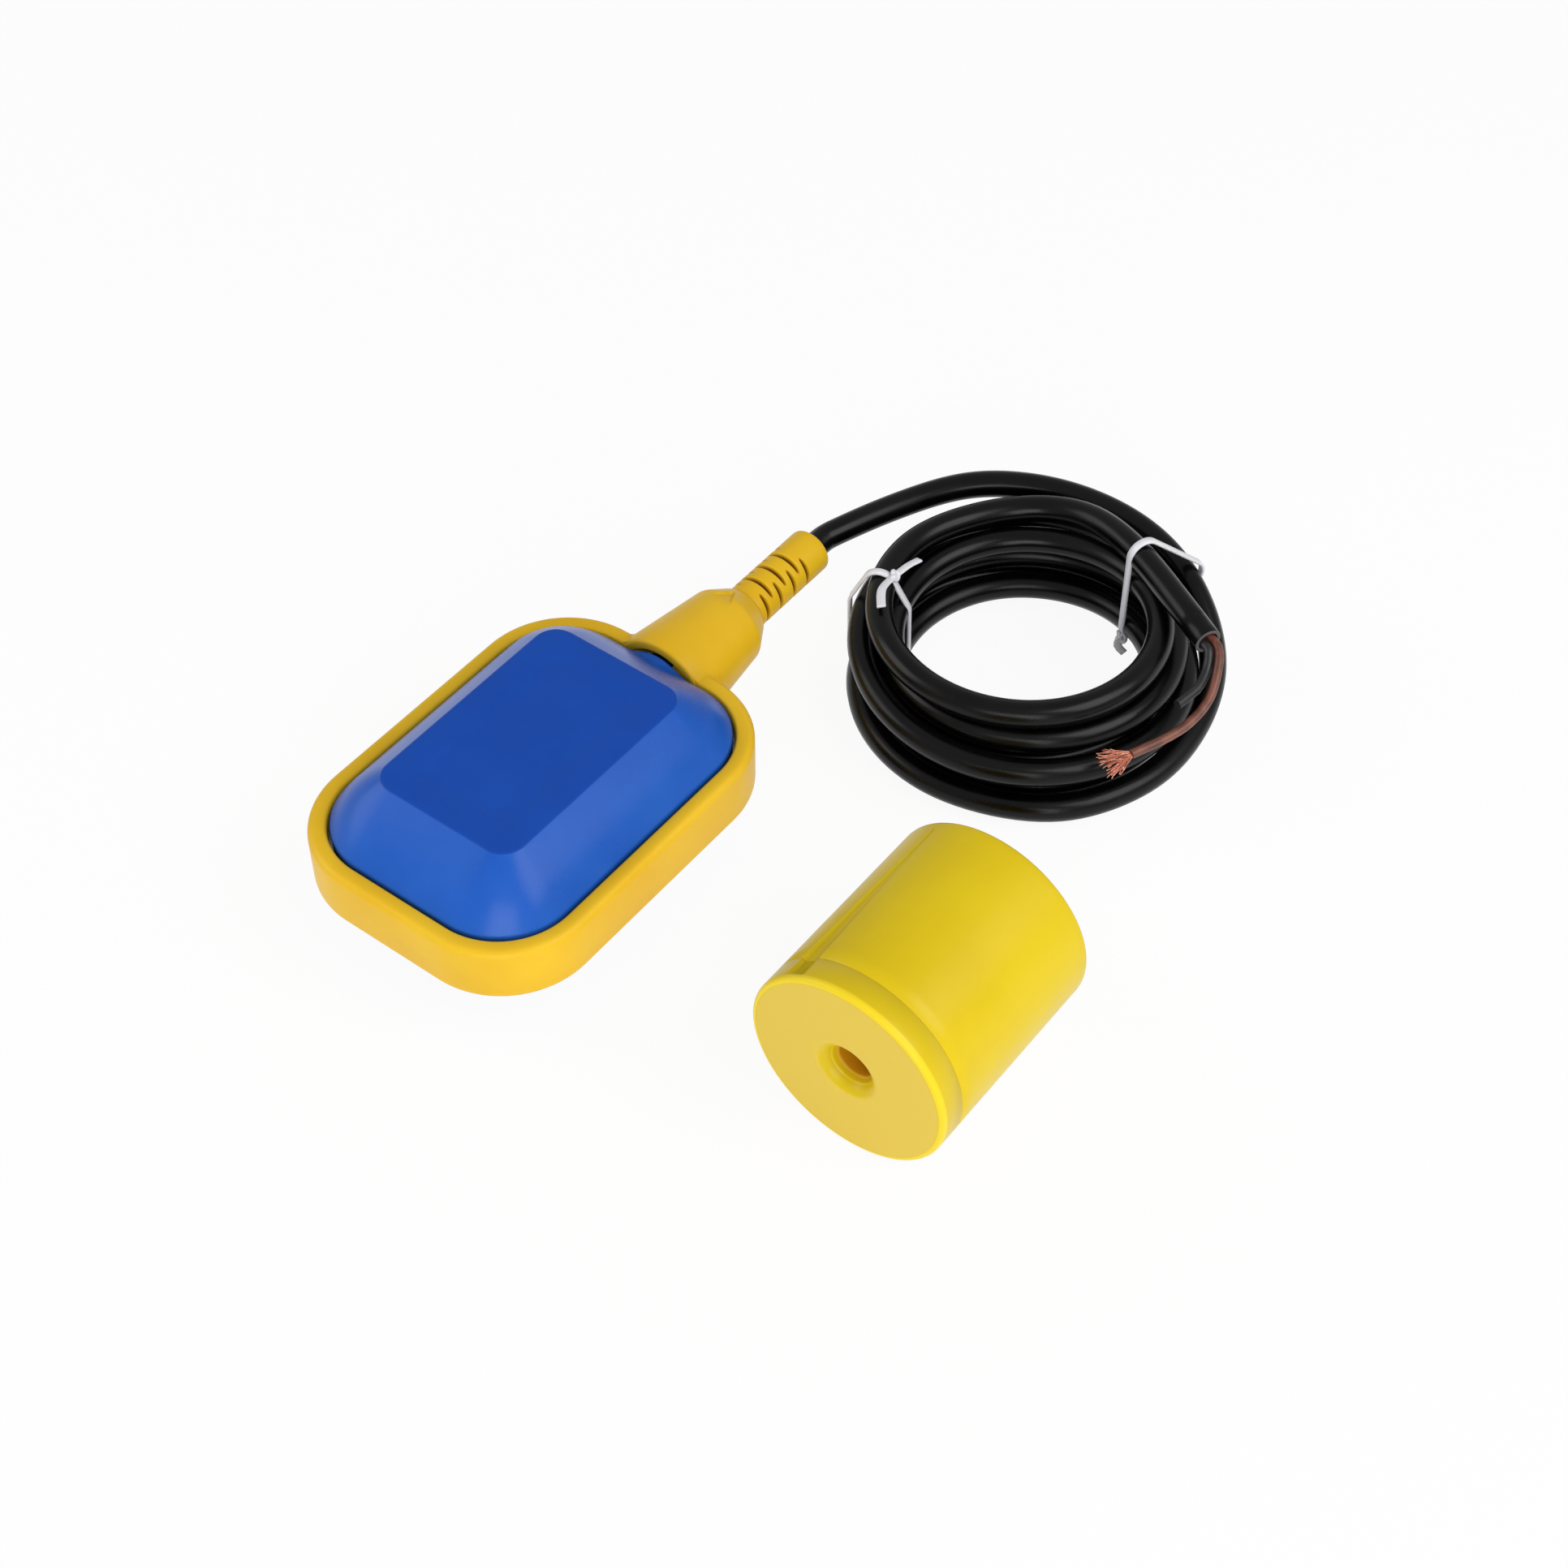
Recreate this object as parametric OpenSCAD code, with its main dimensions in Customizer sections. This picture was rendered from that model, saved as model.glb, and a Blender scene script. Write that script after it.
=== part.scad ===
// Tethered cable float switch with its counterweight, in millimetres.
// X runs along the float towards its cable, Z is up, and the origin is the
// middle of the flat panel that the float rests on.

/* [Float] */
// Length of the yellow band, without the neck
float_len = 108; // [100:1:130]
// Width of the yellow band
float_wid = 80; // [74:1:96]
// Thickness of the float over its two flat panels
float_thk = 44; // [42:1:52]
// Corner radius of the yellow band
corner_r = 25; // [20:1:30]
// Height of the yellow band
band_h = 16.5; // [14:0.5:20]
// Thickness of the yellow band
band_t = 5; // [4:0.25:6]
// Radius on the outer edges of the band
band_edge_r = 2; // [0.5:0.25:3]
// Length of the flat panel
panel_len = 68; // [60:1:72]
// Width of the flat panel
panel_wid = 44; // [40:1:48]
// Corner radius of the flat panel
panel_r = 6; // [3:0.5:9]
// Height of the flat panel over the sloping sides
panel_rise = 0.8; // [0.4:0.1:1.2]
// How far the sloping sides swell outwards
dome_swell = 1.2; // [0:0.1:2]
// Wall of the blue shells
shell_wall = 2.5; // [2:0.1:3]

/* [Neck and boot] */
// Length of the neck beyond the band
neck_len = 30; // [28:1:40]
// Radius of the neck where it leaves the band
neck_r = 14.25; // [13.5:0.25:16]
// Radius of the neck before its shoulder
neck_tip_r = 11.4; // [11:0.1:13]
// Length of the sloping shoulder
shoulder_len = 7; // [4:0.5:10]
// Radius of the neck's end face
shoulder_r = 7.2; // [7:0.1:9]
// Radius of the blue boss that the neck starts over
boss_r = 11.5; // [11:0.1:12.5]
// Radius of the seal chamber in the neck
chamber_r = 9; // [8:0.1:10]
// Length of the slotted boot outside the neck
boot_len = 30; // [26:1:36]
// Diameter of the slotted boot
boot_d = 12.75; // [12:0.25:14]
// Width of one boot slot
slot_w = 1.2; // [0.8:0.1:1.4]
// Distance from one ring of slots to the next
slot_pitch = 2.9; // [2.5:0.05:3.2]
// Rings of slots along the boot
slot_rings = 7; // [5:1:7]

/* [Cable] */
// Diameter of the cable
cable_d = 7.4; // [7:0.1:7.6]
// Diameter of one insulated core
core_d = 2.5; // [2:0.1:2.8]
// Smallest radius of the coil, to the middle of the cable
coil_min_r = 34; // [30:0.5:40]
// Turns in each layer of the coil
layer_turns = 1.5; // [1.25:0.125:2]
// Turns in the whole coil
coil_turns = 5.42; // [5.3:0.02:5.5]
// Gap between neighbouring turns of the coil
turn_gap = 0.5; // [0.45:0.05:1]
// How far the top layer is shifted against the bottom layer
coil_lean = 1.5; // [0:0.5:5]
// Width of the tie straps
tie_w = 2.4; // [1.8:0.1:3]
// Thickness of the tie straps
tie_t = 1; // [0.6:0.1:1.2]

/* [Switch mechanism] */
// Diameter of the steel ball
ball_d = 16; // [14:0.5:16.5]
// Travel of the ball along its race
ball_travel = 16; // [12:0.5:18]
// Play round the ball in its race
ball_play = 0.3; // [0.3:0.05:0.4]
// Wall of the switch carrier
carrier_wall = 2; // [1.6:0.1:2.2]
// Angle of the released lever from square to the race
lever_rest = 14; // [12:0.5:15]
// Angle that the ball turns the lever through
lever_lift = 10; // [8:0.5:11]
// Length of the lever's blade
blade_len = 16.5; // [15:0.5:18]
// Height of the lever's blade
blade_h = 6; // [5:0.25:6.5]
// Thickness of the lever's blade
blade_t = 0.5; // [0.4:0.05:0.7]
// Radius of the lever's pin
pin_r = 0.75; // [0.6:0.05:0.9]
// Depth of the microswitch, plunger side to terminal side
case_depth = 15.9; // [15.5:0.1:17]
// Width of the microswitch
case_wid = 27.8; // [27:0.1:29]
// Thickness of the microswitch
case_thk = 10.3; // [10:0.1:11]
// Radius of the microswitch's plunger
plunger_r = 1.2; // [1:0.05:1.3]

/* [Counterweight] */
// Diameter of the counterweight
weight_d = 54; // [48:1:60]
// Length of the counterweight
weight_len = 59; // [54:1:68]
// Wall of the counterweight's shell
weight_wall = 2; // [1.5:0.1:2.5]
// Length of the counterweight's cap
cap_len = 7.5; // [6:0.25:9]
// Diameter of the bore for the cable
weight_bore = 9.5; // [8.5:0.1:10.5]
// Diameter of the conical mouth
mouth_d = 16; // [14:0.25:18]

/* [Hidden] */
$fn = 48;
eps = 0.01;

band_yellow = [0.93, 0.66, 0.05];
weight_yellow = [0.95, 0.87, 0.12];
shell_blue = [0.08, 0.28, 0.72];
cable_black = [0.06, 0.06, 0.07];
core_brown = [0.48, 0.25, 0.16];
tie_white = [0.94, 0.94, 0.95];
tray_white = [0.86, 0.86, 0.82];

// Float levels and outlines
mid_z = float_thk / 2;
band_z0 = mid_z - band_h / 2;
shell_len = float_len - 2 * band_t;
shell_wid = float_wid - 2 * band_t;
shell_r = corner_r - band_t;
shell_x1 = shell_len / 2;
band_x1 = float_len / 2;
slope_h = mid_z - band_h / 2 - panel_rise;
lip_gap = 0.1;
lip_t = 1.2;
lip_h = 2;

// Neck and boot, from the shell outwards
neck_x1 = band_x1 + neck_len;
boot_x1 = neck_x1 + boot_len;
cable_r = cable_d / 2;
grommet_len = 11;
washer_t = 1.5;
flange_t = 3.5;
chamber_x1 = shell_x1 + grommet_len + washer_t + flange_t;
plug_wall = 1.9;
plug_r = cable_r + plug_wall;
slot_floor_wall = 0.9;
slot_floor_r = cable_r + slot_floor_wall;
slot_arc = 122;
slot_start = 2.7;
slot_x0 = neck_x1 + slot_start;
collar_edge_r = 1;
arrow_half_wid = 2.8;
arrow_depth = 0.6;

// Ball race and carrier
ball_r = ball_d / 2;
ball_rest_x = -24;
ball_end_x = ball_rest_x + ball_travel;
race_half = ball_r + ball_play;
race_x0 = ball_rest_x - race_half;
tray_top = mid_z - race_half;
tray_half_wid = 18;
tray_x0 = race_x0 - carrier_wall;
rib_screw_x = 30;
rib_screw_y = 13.5;
boss_screw_r = 1.2;

// Lever, plunger and microswitch
touch_gap = 0.35;
pivot_inset = 2.9;
pivot_y = case_wid / 2 - pivot_inset;
pressed = lever_rest - lever_lift;
pivot_x = ball_end_x + (ball_r + blade_t / 2 + touch_gap + pivot_y * sin(pressed)) / cos(pressed);
pin_play = 0.04;
curl_r = pin_r + pin_play + 0.5;
ear_r = pin_r + 1.05;
rail_x1 = pivot_x - ear_r - 0.6;
case_x0 = pivot_x + ear_r - 0.3;
case_x1 = case_x0 + case_depth;
case_z0 = mid_z - case_thk / 2;
case_wall = 1.5;
ear_h = (case_thk - blade_h) / 2 - 0.3;
cover_t = ear_h;
cover_z0 = case_z0 + case_thk - cover_t;
case_ear = 5.1;
case_cavity_wid = case_wid - 2 * case_ear;
case_hole_y = (case_wid - case_ear) / 2;
case_hole_x = case_x0 + case_depth / 2;
plunger_play = 0.05;
plunger_inset = 4.3;
plunger_y = case_cavity_wid / 2 - plunger_inset;
plunger_arm = pivot_y - plunger_y;
plunger_gap = 0.15;
plunger_x0 = pivot_x - plunger_arm * tan(lever_rest) + blade_t / 2 / cos(lever_rest) + plunger_gap;
plunger_travel = plunger_arm * (tan(lever_rest) - tan(pressed));
collar_r = plunger_r + 0.7;
collar_t = 1;
collar_x0 = case_x0 + case_wall + 0.3;
blade_gap = 0.35;
snap_x0 = collar_x0 + collar_t + plunger_travel + blade_gap;
snap_t = 0.4;
snap_h = 4;
snap_play = 0.5;
snap_half = case_cavity_wid / 2 - snap_play;
terminal_inset = 2.5;
terminal_y = case_cavity_wid / 2 - terminal_inset;
terminal_w = 4;
terminal_t = 0.8;
terminal_out = 6.4;
terminal_x1 = case_x1 + terminal_out;
contact_r = 1;
contact_t = 0.7;
contact_gap = 0.5;

// Cable clamp and inner cores
lead_room = 8;
lead_x0 = terminal_x1 + lead_room;
clamp_x0 = lead_x0 + 1.5;
clamp_len = 6.5;
tray_x1 = clamp_x0 + clamp_len;
clamp_ear = 6.5;
clamp_half_wid = cable_r + clamp_ear;
clamp_split = 0.4;
clamp_flange_t = 2;
clamp_screw_gap = 4;
clamp_screw_y = cable_r + clamp_screw_gap;
clamp_screw_grip = 5;
carrier_screw_grip = 6;
switch_screw_grip = 3;
core_y = core_d / 2 + 0.1;

// Route of the free cable, from the mouth of the boot to the coil
cable_exit = [boot_x1, 0, mid_z];
free_route = [
    [126.5, -1.5, 22.5], [134, -4.5, 23], [147, -12.5, 25], [157, -21.5, 27.5],
    [164.5, -33.5, 28], [169.5, -43.5, 27.5], [172.5, -54, 26.5], [173.5, -66, 25],
    [171.5, -77.5, 23.5], [167.5, -86.5, 21.5], [162, -96, 17.5], [154, -105, 11.5],
    [143.5, -110, 7.5], [131, -112, 5.5], [118.5, -112.5, 5], [106, -109.5, 5], [95, -103.5, 5]
];
// Route of the cable's last stretch, from the top turn over the coil to the cut end
last_route = [
    [159.5, -47, 30.5], [161.5, -59, 32.7], [157, -71.5, 34.7],
    [153.5, -79.5, 35.5], [145, -94, 36], [140.5, -103, 35.2]
];
sheath_end = [137, -110, 34.5];
sheath_way = unit([-0.46, -0.88, -0.06]);
tube_sides = 10;
tube_step = 2 * cable_d;

// Coil, wound clockwise from its outer bottom turn
coil_x = 122.5;
coil_y = -64.5;
coil_start_angle = 200;
lean_angle = 37;
coil_steps = 24;
coil_sides = 6;
turn_pitch = cable_d + turn_gap;
tie_play = 0.15;
tie_slack = 0.4;
knot_r = 1.8;
tie_end_r = 0.7;
left_tie_angle = 110;
left_knot_side = 135;
left_tie_ends = [[[4.5, -1, 0.8], [8.5, -2, 0.6]], [[-7, -1, 1.2], [-13, -5, 1.6]]];
right_knot_side = 225;
right_tie_ends = [[[-0.8, 0.2, -2.8], [-0.5, -1.8, -4.6]]];
right_tie_points = [free_route[9], last_route[3]];
right_tie_angle = atan2(free_route[9].y - coil_y, free_route[9].x - coil_x);
coil_bottom = tie_t + tie_play;
climb_half = 0.25;

function coil_layer(s) = len([for (j = [1:3]) if (s >= j * layer_turns) 1]);
function coil_climb(s) = [
    for (j = [1:3]) max(0, min(1, (s - j * layer_turns + climb_half) / climb_half / 2))
];
function sum3(v) = v[0] + v[1] + v[2];
function coil_in(s) = let (f = s / layer_turns - coil_layer(s)) coil_layer(s) % 2 == 0 ? 1 - f : f;
function coil_r(s) = coil_min_r + turn_pitch * layer_turns * coil_in(s);
function coil_level(s) = sum3(coil_climb(s));
function coil_angle(s) = coil_start_angle - 360 * s;
function coil_shift(s) = coil_lean * (coil_level(s) / 3 - 0.5);
function coil_point(s) = [
    coil_x + coil_r(s) * cos(coil_angle(s)) + coil_shift(s) * cos(lean_angle),
    coil_y + coil_r(s) * sin(coil_angle(s)) + coil_shift(s) * sin(lean_angle),
    coil_bottom + cable_r + turn_pitch * coil_level(s)
];

function unit(v) = v / norm(v);
function coil_way(s) = unit(coil_point(s + 0.002) - coil_point(s - 0.002));
coil_mouth = coil_point(0) - cable_d * coil_way(0);

// Turns that cross the upright plane at an angle about the coil, as [radius, height]
function plane_turns(a) = [
    for (k = [0:8])
        let (s = (coil_start_angle - a) / 360 - floor((coil_start_angle - a) / 360) + k)
            if (s <= coil_turns)
                let (p = coil_point(s)) [(p.x - coil_x) * cos(a) + (p.y - coil_y) * sin(a), p.z]
];

// Smooth path through hand chosen points, one point a step
function curve_at(a, b, c, d, t) = 0.5 * (
    2 * b + (c - a) * t + (2 * a - 5 * b + 4 * c - d) * t * t + (3 * b - a - 3 * c + d) * t * t * t
);
function smooth_path(pts, step) = let (n = len(pts)) concat(
    [pts[0]],
    [
        for (i = [1:n - 3])
            let (m = max(1, round(norm(pts[i + 1] - pts[i]) / step)))
                for (k = [0:m - 1]) curve_at(pts[i - 1], pts[i], pts[i + 1], pts[i + 2], k / m)
    ],
    [pts[n - 2], pts[n - 1]]
);

// Tube of one polyhedron along a path
function path_way(path, i) = unit(path[min(i + 1, len(path) - 1)] - path[max(i - 1, 0)]);
function end_way(path, i) =
    i == 0 ? unit(path[1] - path[0]) :
    i == len(path) - 1 ? unit(path[i] - path[i - 1]) : path_way(path, i);
function ring(path, i, r, sides) =
    let (t = end_way(path, i), u = unit(cross(t, [0, 0, 1])), v = cross(u, t))
        [for (k = [0:sides - 1]) path[i] + r * (cos(360 * k / sides) * v - sin(360 * k / sides) * u)];
module tube(path, r, sides) {
    n = len(path);
    polyhedron(
        points = [for (i = [0:n - 1]) each ring(path, i, r, sides)],
        faces = concat(
            [for (k = [1:sides - 2]) [0, k + 1, k]],
            [
                for (i = [0:n - 2])
                    for (k = [0:sides - 1])
                        let (a = i * sides + k, b = i * sides + (k + 1) % sides)
                            each [[a, b, a + sides], [b, b + sides, a + sides]]
            ],
            [for (k = [1:sides - 2]) [(n - 1) * sides, (n - 1) * sides + k, (n - 1) * sides + k + 1]]
        )
    );
}

// Cut end of the sheath and the bared cores
core_side = unit(cross(sheath_way, [0, 0, 1]));
brown_start = sheath_end - core_y * core_side;
black_start = sheath_end + core_y * core_side;
brown_route = [[133.5, -115.5, 32.5], [126, -118, 28], [117, -117.5, 25.5], [108, -114.5, 24.5]];
brown_end = [100.5, -111, 24];
black_route = [[130, -114.5, 32], [124, -115, 31.5]];
black_end = [118, -113, 32];
core_step = 3 * core_d;
strand_r = 0.25;
strand_len = 7;

free_path = smooth_path(concat(
    [cable_exit, cable_exit + [cable_d, 0, 0]],
    free_route,
    [coil_mouth - cable_d * coil_way(0), coil_mouth]
), tube_step);
last_path = smooth_path(concat(
    [coil_point(coil_turns - 1 / coil_steps), coil_point(coil_turns)],
    last_route,
    [sheath_end - cable_d * sheath_way, sheath_end]
), 1.5 * cable_d);
coil_path = concat(
    [coil_mouth],
    [for (i = [0:floor(coil_turns * coil_steps) - 1]) coil_point(i / coil_steps)],
    last_path
);

// Least distances between the middles of the turns, less one cable diameter
fine_steps = 48;
fine_path = [for (i = [0:floor(coil_turns * fine_steps)]) coil_point(i / fine_steps)];
coil_gap = min([
    for (i = [0:len(fine_path) - 1])
        for (j = [i + fine_steps / 2:len(fine_path) - 1]) norm(fine_path[i] - fine_path[j])
]) - cable_d;
free_gap = min([
    for (i = [0:len(free_path) - 4]) for (p = concat(fine_path, last_path)) norm(free_path[i] - p)
]) - cable_d;
last_gap = min([
    for (i = [1:len(last_path) - 1])
        for (j = [0:floor((coil_turns - 0.5) * fine_steps)]) norm(last_path[i] - fine_path[j])
]) - cable_d;
echo(coil_gap = coil_gap, free_gap = free_gap, last_gap = last_gap);
function path_length(path, i = 1) =
    i >= len(path) ? 0 : norm(path[i] - path[i - 1]) + path_length(path, i + 1);
echo(coil_length = path_length(coil_path), free_length = path_length(free_path));

// Outline of a rectangle with round corners
module rounded_outline(l, w, r) {
    square([l - 2 * r, w], center = true);
    square([l, w - 2 * r], center = true);
    for (sx = [-1, 1]) {
        for (sy = [-1, 1]) {
            translate([sx * (l / 2 - r), sy * (w / 2 - r)])
                circle(r);
        }
    }
}

module rounded_plate(l, w, r, h) {
    linear_extrude(h)
        rounded_outline(l, w, r);
}

// Cylinder along X from x0 to x1
module x_rod(x0, x1, r) {
    translate([x0, 0, 0])
        rotate([0, 90, 0])
            cylinder(h = x1 - x0, r = r);
}

// Sloping dome between the band and the flat panel, taken in by a wall
module dome(inset, top) {
    l = shell_len - 2 * inset;
    w = shell_wid - 2 * inset;
    r = shell_r - inset;
    pl = panel_len - 2 * inset * 0.6;
    pw = panel_wid - 2 * inset * 0.6;
    swell = dome_swell * 2;
    hull() {
        $fn = 32;
        rounded_plate(l, w, r, eps);
        translate([0, 0, top * 0.45])
            rounded_plate(
                l * 0.55 + pl * 0.45 + swell,
                w * 0.55 + pw * 0.45 + swell,
                r * 0.55 + panel_r * 0.45 + dome_swell,
                eps
            );
        translate([0, 0, top - eps])
            rounded_plate(pl, pw, max(1, panel_r - inset), eps);
    }
}

// Upper half of the blue float body, from its middle plane upwards
module half_shell() {
    difference() {
        union() {
            translate([0, 0, mid_z])
                rounded_plate(shell_len, shell_wid, shell_r, band_h / 2);
            translate([0, 0, mid_z + band_h / 2])
                dome(0, slope_h);
            translate([0, 0, float_thk - panel_rise - 0.5])
                rounded_plate(panel_len, panel_wid, panel_r, panel_rise + 0.5);
            intersection() {
                translate([0, 0, mid_z])
                    x_rod(shell_x1 * 0.6, shell_x1, boss_r);
                translate([0, -boss_r, mid_z])
                    cube([shell_x1, 2 * boss_r, 2 * boss_r]);
            }
        }
        translate([0, 0, mid_z - 1])
            rounded_plate(
                shell_len - 2 * shell_wall, shell_wid - 2 * shell_wall, shell_r - shell_wall, band_h / 2 + 1
            );
        translate([0, 0, mid_z + band_h / 2 - eps])
            dome(shell_wall, slope_h + panel_rise - shell_wall);
        translate([0, 0, mid_z])
            x_rod(shell_x1 * 0.5, shell_x1 + 1, chamber_r);
    }
}

module upper_shell() {
    color(shell_blue)
        half_shell();
}

module lip_ring(z0, h, inset, t) {
    translate([0, 0, z0]) {
        linear_extrude(h) {
            difference() {
                rounded_outline(shell_len - 2 * inset, shell_wid - 2 * inset, shell_r - inset);
                rounded_outline(
                    shell_len - 2 * (inset + t), shell_wid - 2 * (inset + t), shell_r - inset - t
                );
            }
        }
    }
}

module lower_shell() {
    color(shell_blue) {
        difference() {
            union() {
                translate([0, 0, float_thk])
                    mirror([0, 0, 1])
                        half_shell();
                lip_ring(mid_z - lip_h, lip_h, shell_wall - 0.5, lip_t + 0.5);
                lip_ring(mid_z - lip_h, 2 * lip_h, shell_wall + lip_gap, lip_t);
                for (sx = [-1, 1]) {
                    for (sy = [-1, 1]) {
                        translate([sx * rib_screw_x, sy * rib_screw_y, shell_wall - 1])
                            cylinder(h = tray_top - carrier_wall - shell_wall + 1, r = boss_screw_r + 2);
                    }
                }
            }
            for (sx = [-1, 1]) {
                for (sy = [-1, 1]) {
                    translate([sx * rib_screw_x, sy * rib_screw_y, shell_wall + 1])
                        cylinder(h = tray_top, r = boss_screw_r);
                }
            }
            translate([0, 0, mid_z])
                x_rod(shell_x1 * 0.5, shell_x1 + 1, chamber_r);
        }
    }
}

// Cross section of the band, with its rounded outer edges
module band_section() {
    square([band_t - band_edge_r, band_h]);
    translate([0, band_edge_r])
        square([band_t, band_h - 2 * band_edge_r]);
    for (z = [band_edge_r, band_h - band_edge_r]) {
        translate([band_t - band_edge_r, z])
            circle(band_edge_r);
    }
}

module band_ring() {
    for (side = [0, 1]) {
        mirror([0, side, 0]) {
            translate([-(band_x1 - corner_r), float_wid / 2 - band_t, band_z0])
                rotate([90, 0, 90])
                    linear_extrude(float_len - 2 * corner_r)
                        band_section();
        }
        mirror([side, 0, 0]) {
            translate([band_x1 - band_t, float_wid / 2 - corner_r, band_z0])
                rotate([90, 0, 0])
                    linear_extrude(float_wid - 2 * corner_r)
                        band_section();
        }
        for (turn = [0, 1]) {
            mirror([side, 0, 0])
                mirror([0, turn, 0])
                    translate([band_x1 - corner_r, float_wid / 2 - corner_r, band_z0])
                        rotate_extrude(angle = 90)
                            translate([corner_r - band_t, 0])
                                band_section();
        }
    }
}

// Shallow arrow in the top of the shoulder, square to its slope
module shoulder_arrow() {
    fall = neck_tip_r - shoulder_r;
    translate([neck_x1 - shoulder_len, 0, mid_z + neck_tip_r])
        rotate([0, atan2(fall, shoulder_len), 0])
            translate([0, 0, -arrow_depth])
                linear_extrude(2 * neck_tip_r)
                    polygon([
                        [0, -arrow_half_wid],
                        [shoulder_len * 0.7, 0],
                        [0, arrow_half_wid]
                    ]);
}

module float_band() {
    color(band_yellow) {
        difference() {
            union() {
                band_ring();
                translate([shell_x1, 0, mid_z])
                    rotate([0, 90, 0])
                        rotate_extrude()
                            polygon([
                                [0, 0],
                                [neck_r, 0],
                                [neck_r, band_t],
                                [neck_tip_r, neck_x1 - shoulder_len - shell_x1],
                                [shoulder_r, neck_x1 - shell_x1],
                                [0, neck_x1 - shell_x1]
                            ]);
            }
            translate([0, 0, mid_z]) {
                x_rod(shell_x1 - 1, chamber_x1, chamber_r);
                x_rod(shell_x1, neck_x1 + 1, plug_r);
            }
            shoulder_arrow();
        }
    }
}

module boot_slot(x, a) {
    translate([x, 0, mid_z])
        rotate([0, 90, 0])
            rotate([0, 0, a - slot_arc / 2])
                rotate_extrude(angle = slot_arc)
                    translate([slot_floor_r, 0])
                        square([boot_d, slot_w]);
}

module strain_relief_boot() {
    outer_r = boot_d / 2;
    color(band_yellow) {
        difference() {
            translate([0, 0, mid_z]) {
                x_rod(chamber_x1 - flange_t, chamber_x1, chamber_r);
                x_rod(chamber_x1 - 1, neck_x1, plug_r);
                translate([neck_x1, 0, 0]) {
                    rotate([0, 90, 0]) {
                        rotate_extrude() {
                            square([outer_r, boot_len - collar_edge_r]);
                            square([outer_r - collar_edge_r, boot_len]);
                            translate([outer_r - collar_edge_r, boot_len - collar_edge_r])
                                circle(collar_edge_r);
                        }
                    }
                }
            }
            translate([0, 0, mid_z])
                x_rod(shell_x1, boot_x1 + 1, cable_r);
            for (i = [0:slot_rings - 1]) {
                boot_slot(slot_x0 + i * slot_pitch, i % 2 == 0 ? 90 : 0);
                boot_slot(slot_x0 + i * slot_pitch, i % 2 == 0 ? 270 : 180);
            }
        }
    }
}

module seal_grommet() {
    groove = grommet_len / 5;
    color([0.12, 0.12, 0.13])
        translate([shell_x1, 0, mid_z])
            rotate([0, 90, 0])
                rotate_extrude()
                    difference() {
                        translate([cable_r, 0])
                            square([chamber_r - cable_r, grommet_len]);
                        for (i = [1, 3])
                            translate([chamber_r - 0.8, i * groove])
                                square([1, groove]);
                    }
}

module grommet_washer() {
    color("silver")
        translate([shell_x1 + grommet_len, 0, mid_z])
            rotate([0, 90, 0])
                difference() {
                    cylinder(h = washer_t, r = chamber_r);
                    translate([0, 0, -1])
                        cylinder(h = washer_t + 2, r = cable_r);
                }
}

module neck_cable() {
    color(cable_black)
        translate([0, 0, mid_z])
            x_rod(lead_x0, boot_x1, cable_r);
}

module cable_clamp() {
    color(tray_white) {
        difference() {
            union() {
                intersection() {
                    translate([0, 0, mid_z])
                        x_rod(clamp_x0, clamp_x0 + clamp_len, cable_r + clamp_flange_t);
                    translate([clamp_x0, -tray_half_wid, mid_z + clamp_split])
                        cube([clamp_len, 2 * tray_half_wid, float_thk]);
                }
                translate([clamp_x0, -clamp_half_wid, mid_z + clamp_split])
                    cube([clamp_len, 2 * clamp_half_wid, clamp_flange_t]);
            }
            translate([0, 0, mid_z])
                x_rod(clamp_x0 - 1, clamp_x0 + clamp_len + 1, cable_r);
            for (side = [-1, 1]) {
                translate([clamp_x0 + clamp_len / 2, side * clamp_screw_y, mid_z])
                    cylinder(h = float_thk, r = boss_screw_r);
            }
        }
    }
}

// Pan head screw, head up, with its seat at z = 0
module screw(r, length) {
    difference() {
        union() {
            translate([0, 0, -length])
                cylinder(h = length, r = r);
            cylinder(h = r * 1.2, r = r * 1.9);
        }
        for (a = [0, 90])
            rotate([0, 0, a])
                translate([-r * 1.1, -r * 0.2, r * 0.6])
                    cube([r * 2.2, r * 0.4, r]);
    }
}

module clamp_screws() {
    color("silver")
        for (side = [-1, 1])
            translate([
                clamp_x0 + clamp_len / 2, side * clamp_screw_y, mid_z + clamp_split + clamp_flange_t
            ])
                screw(boss_screw_r, clamp_flange_t + clamp_screw_grip);
}

module lead(side) {
    bend = (lead_x0 - terminal_x1) * 0.32;
    tube(smooth_path([
        [lead_x0, side * core_y, mid_z],
        [lead_x0 - bend, side * core_y, mid_z],
        [terminal_x1 + bend, side * terminal_y, mid_z],
        [terminal_x1, side * terminal_y, mid_z]
    ], core_d), core_d / 2, 8);
}

module lead_brown() {
    color(core_brown)
        lead(1);
}

module lead_black() {
    color(cable_black)
        lead(-1);
}

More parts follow.
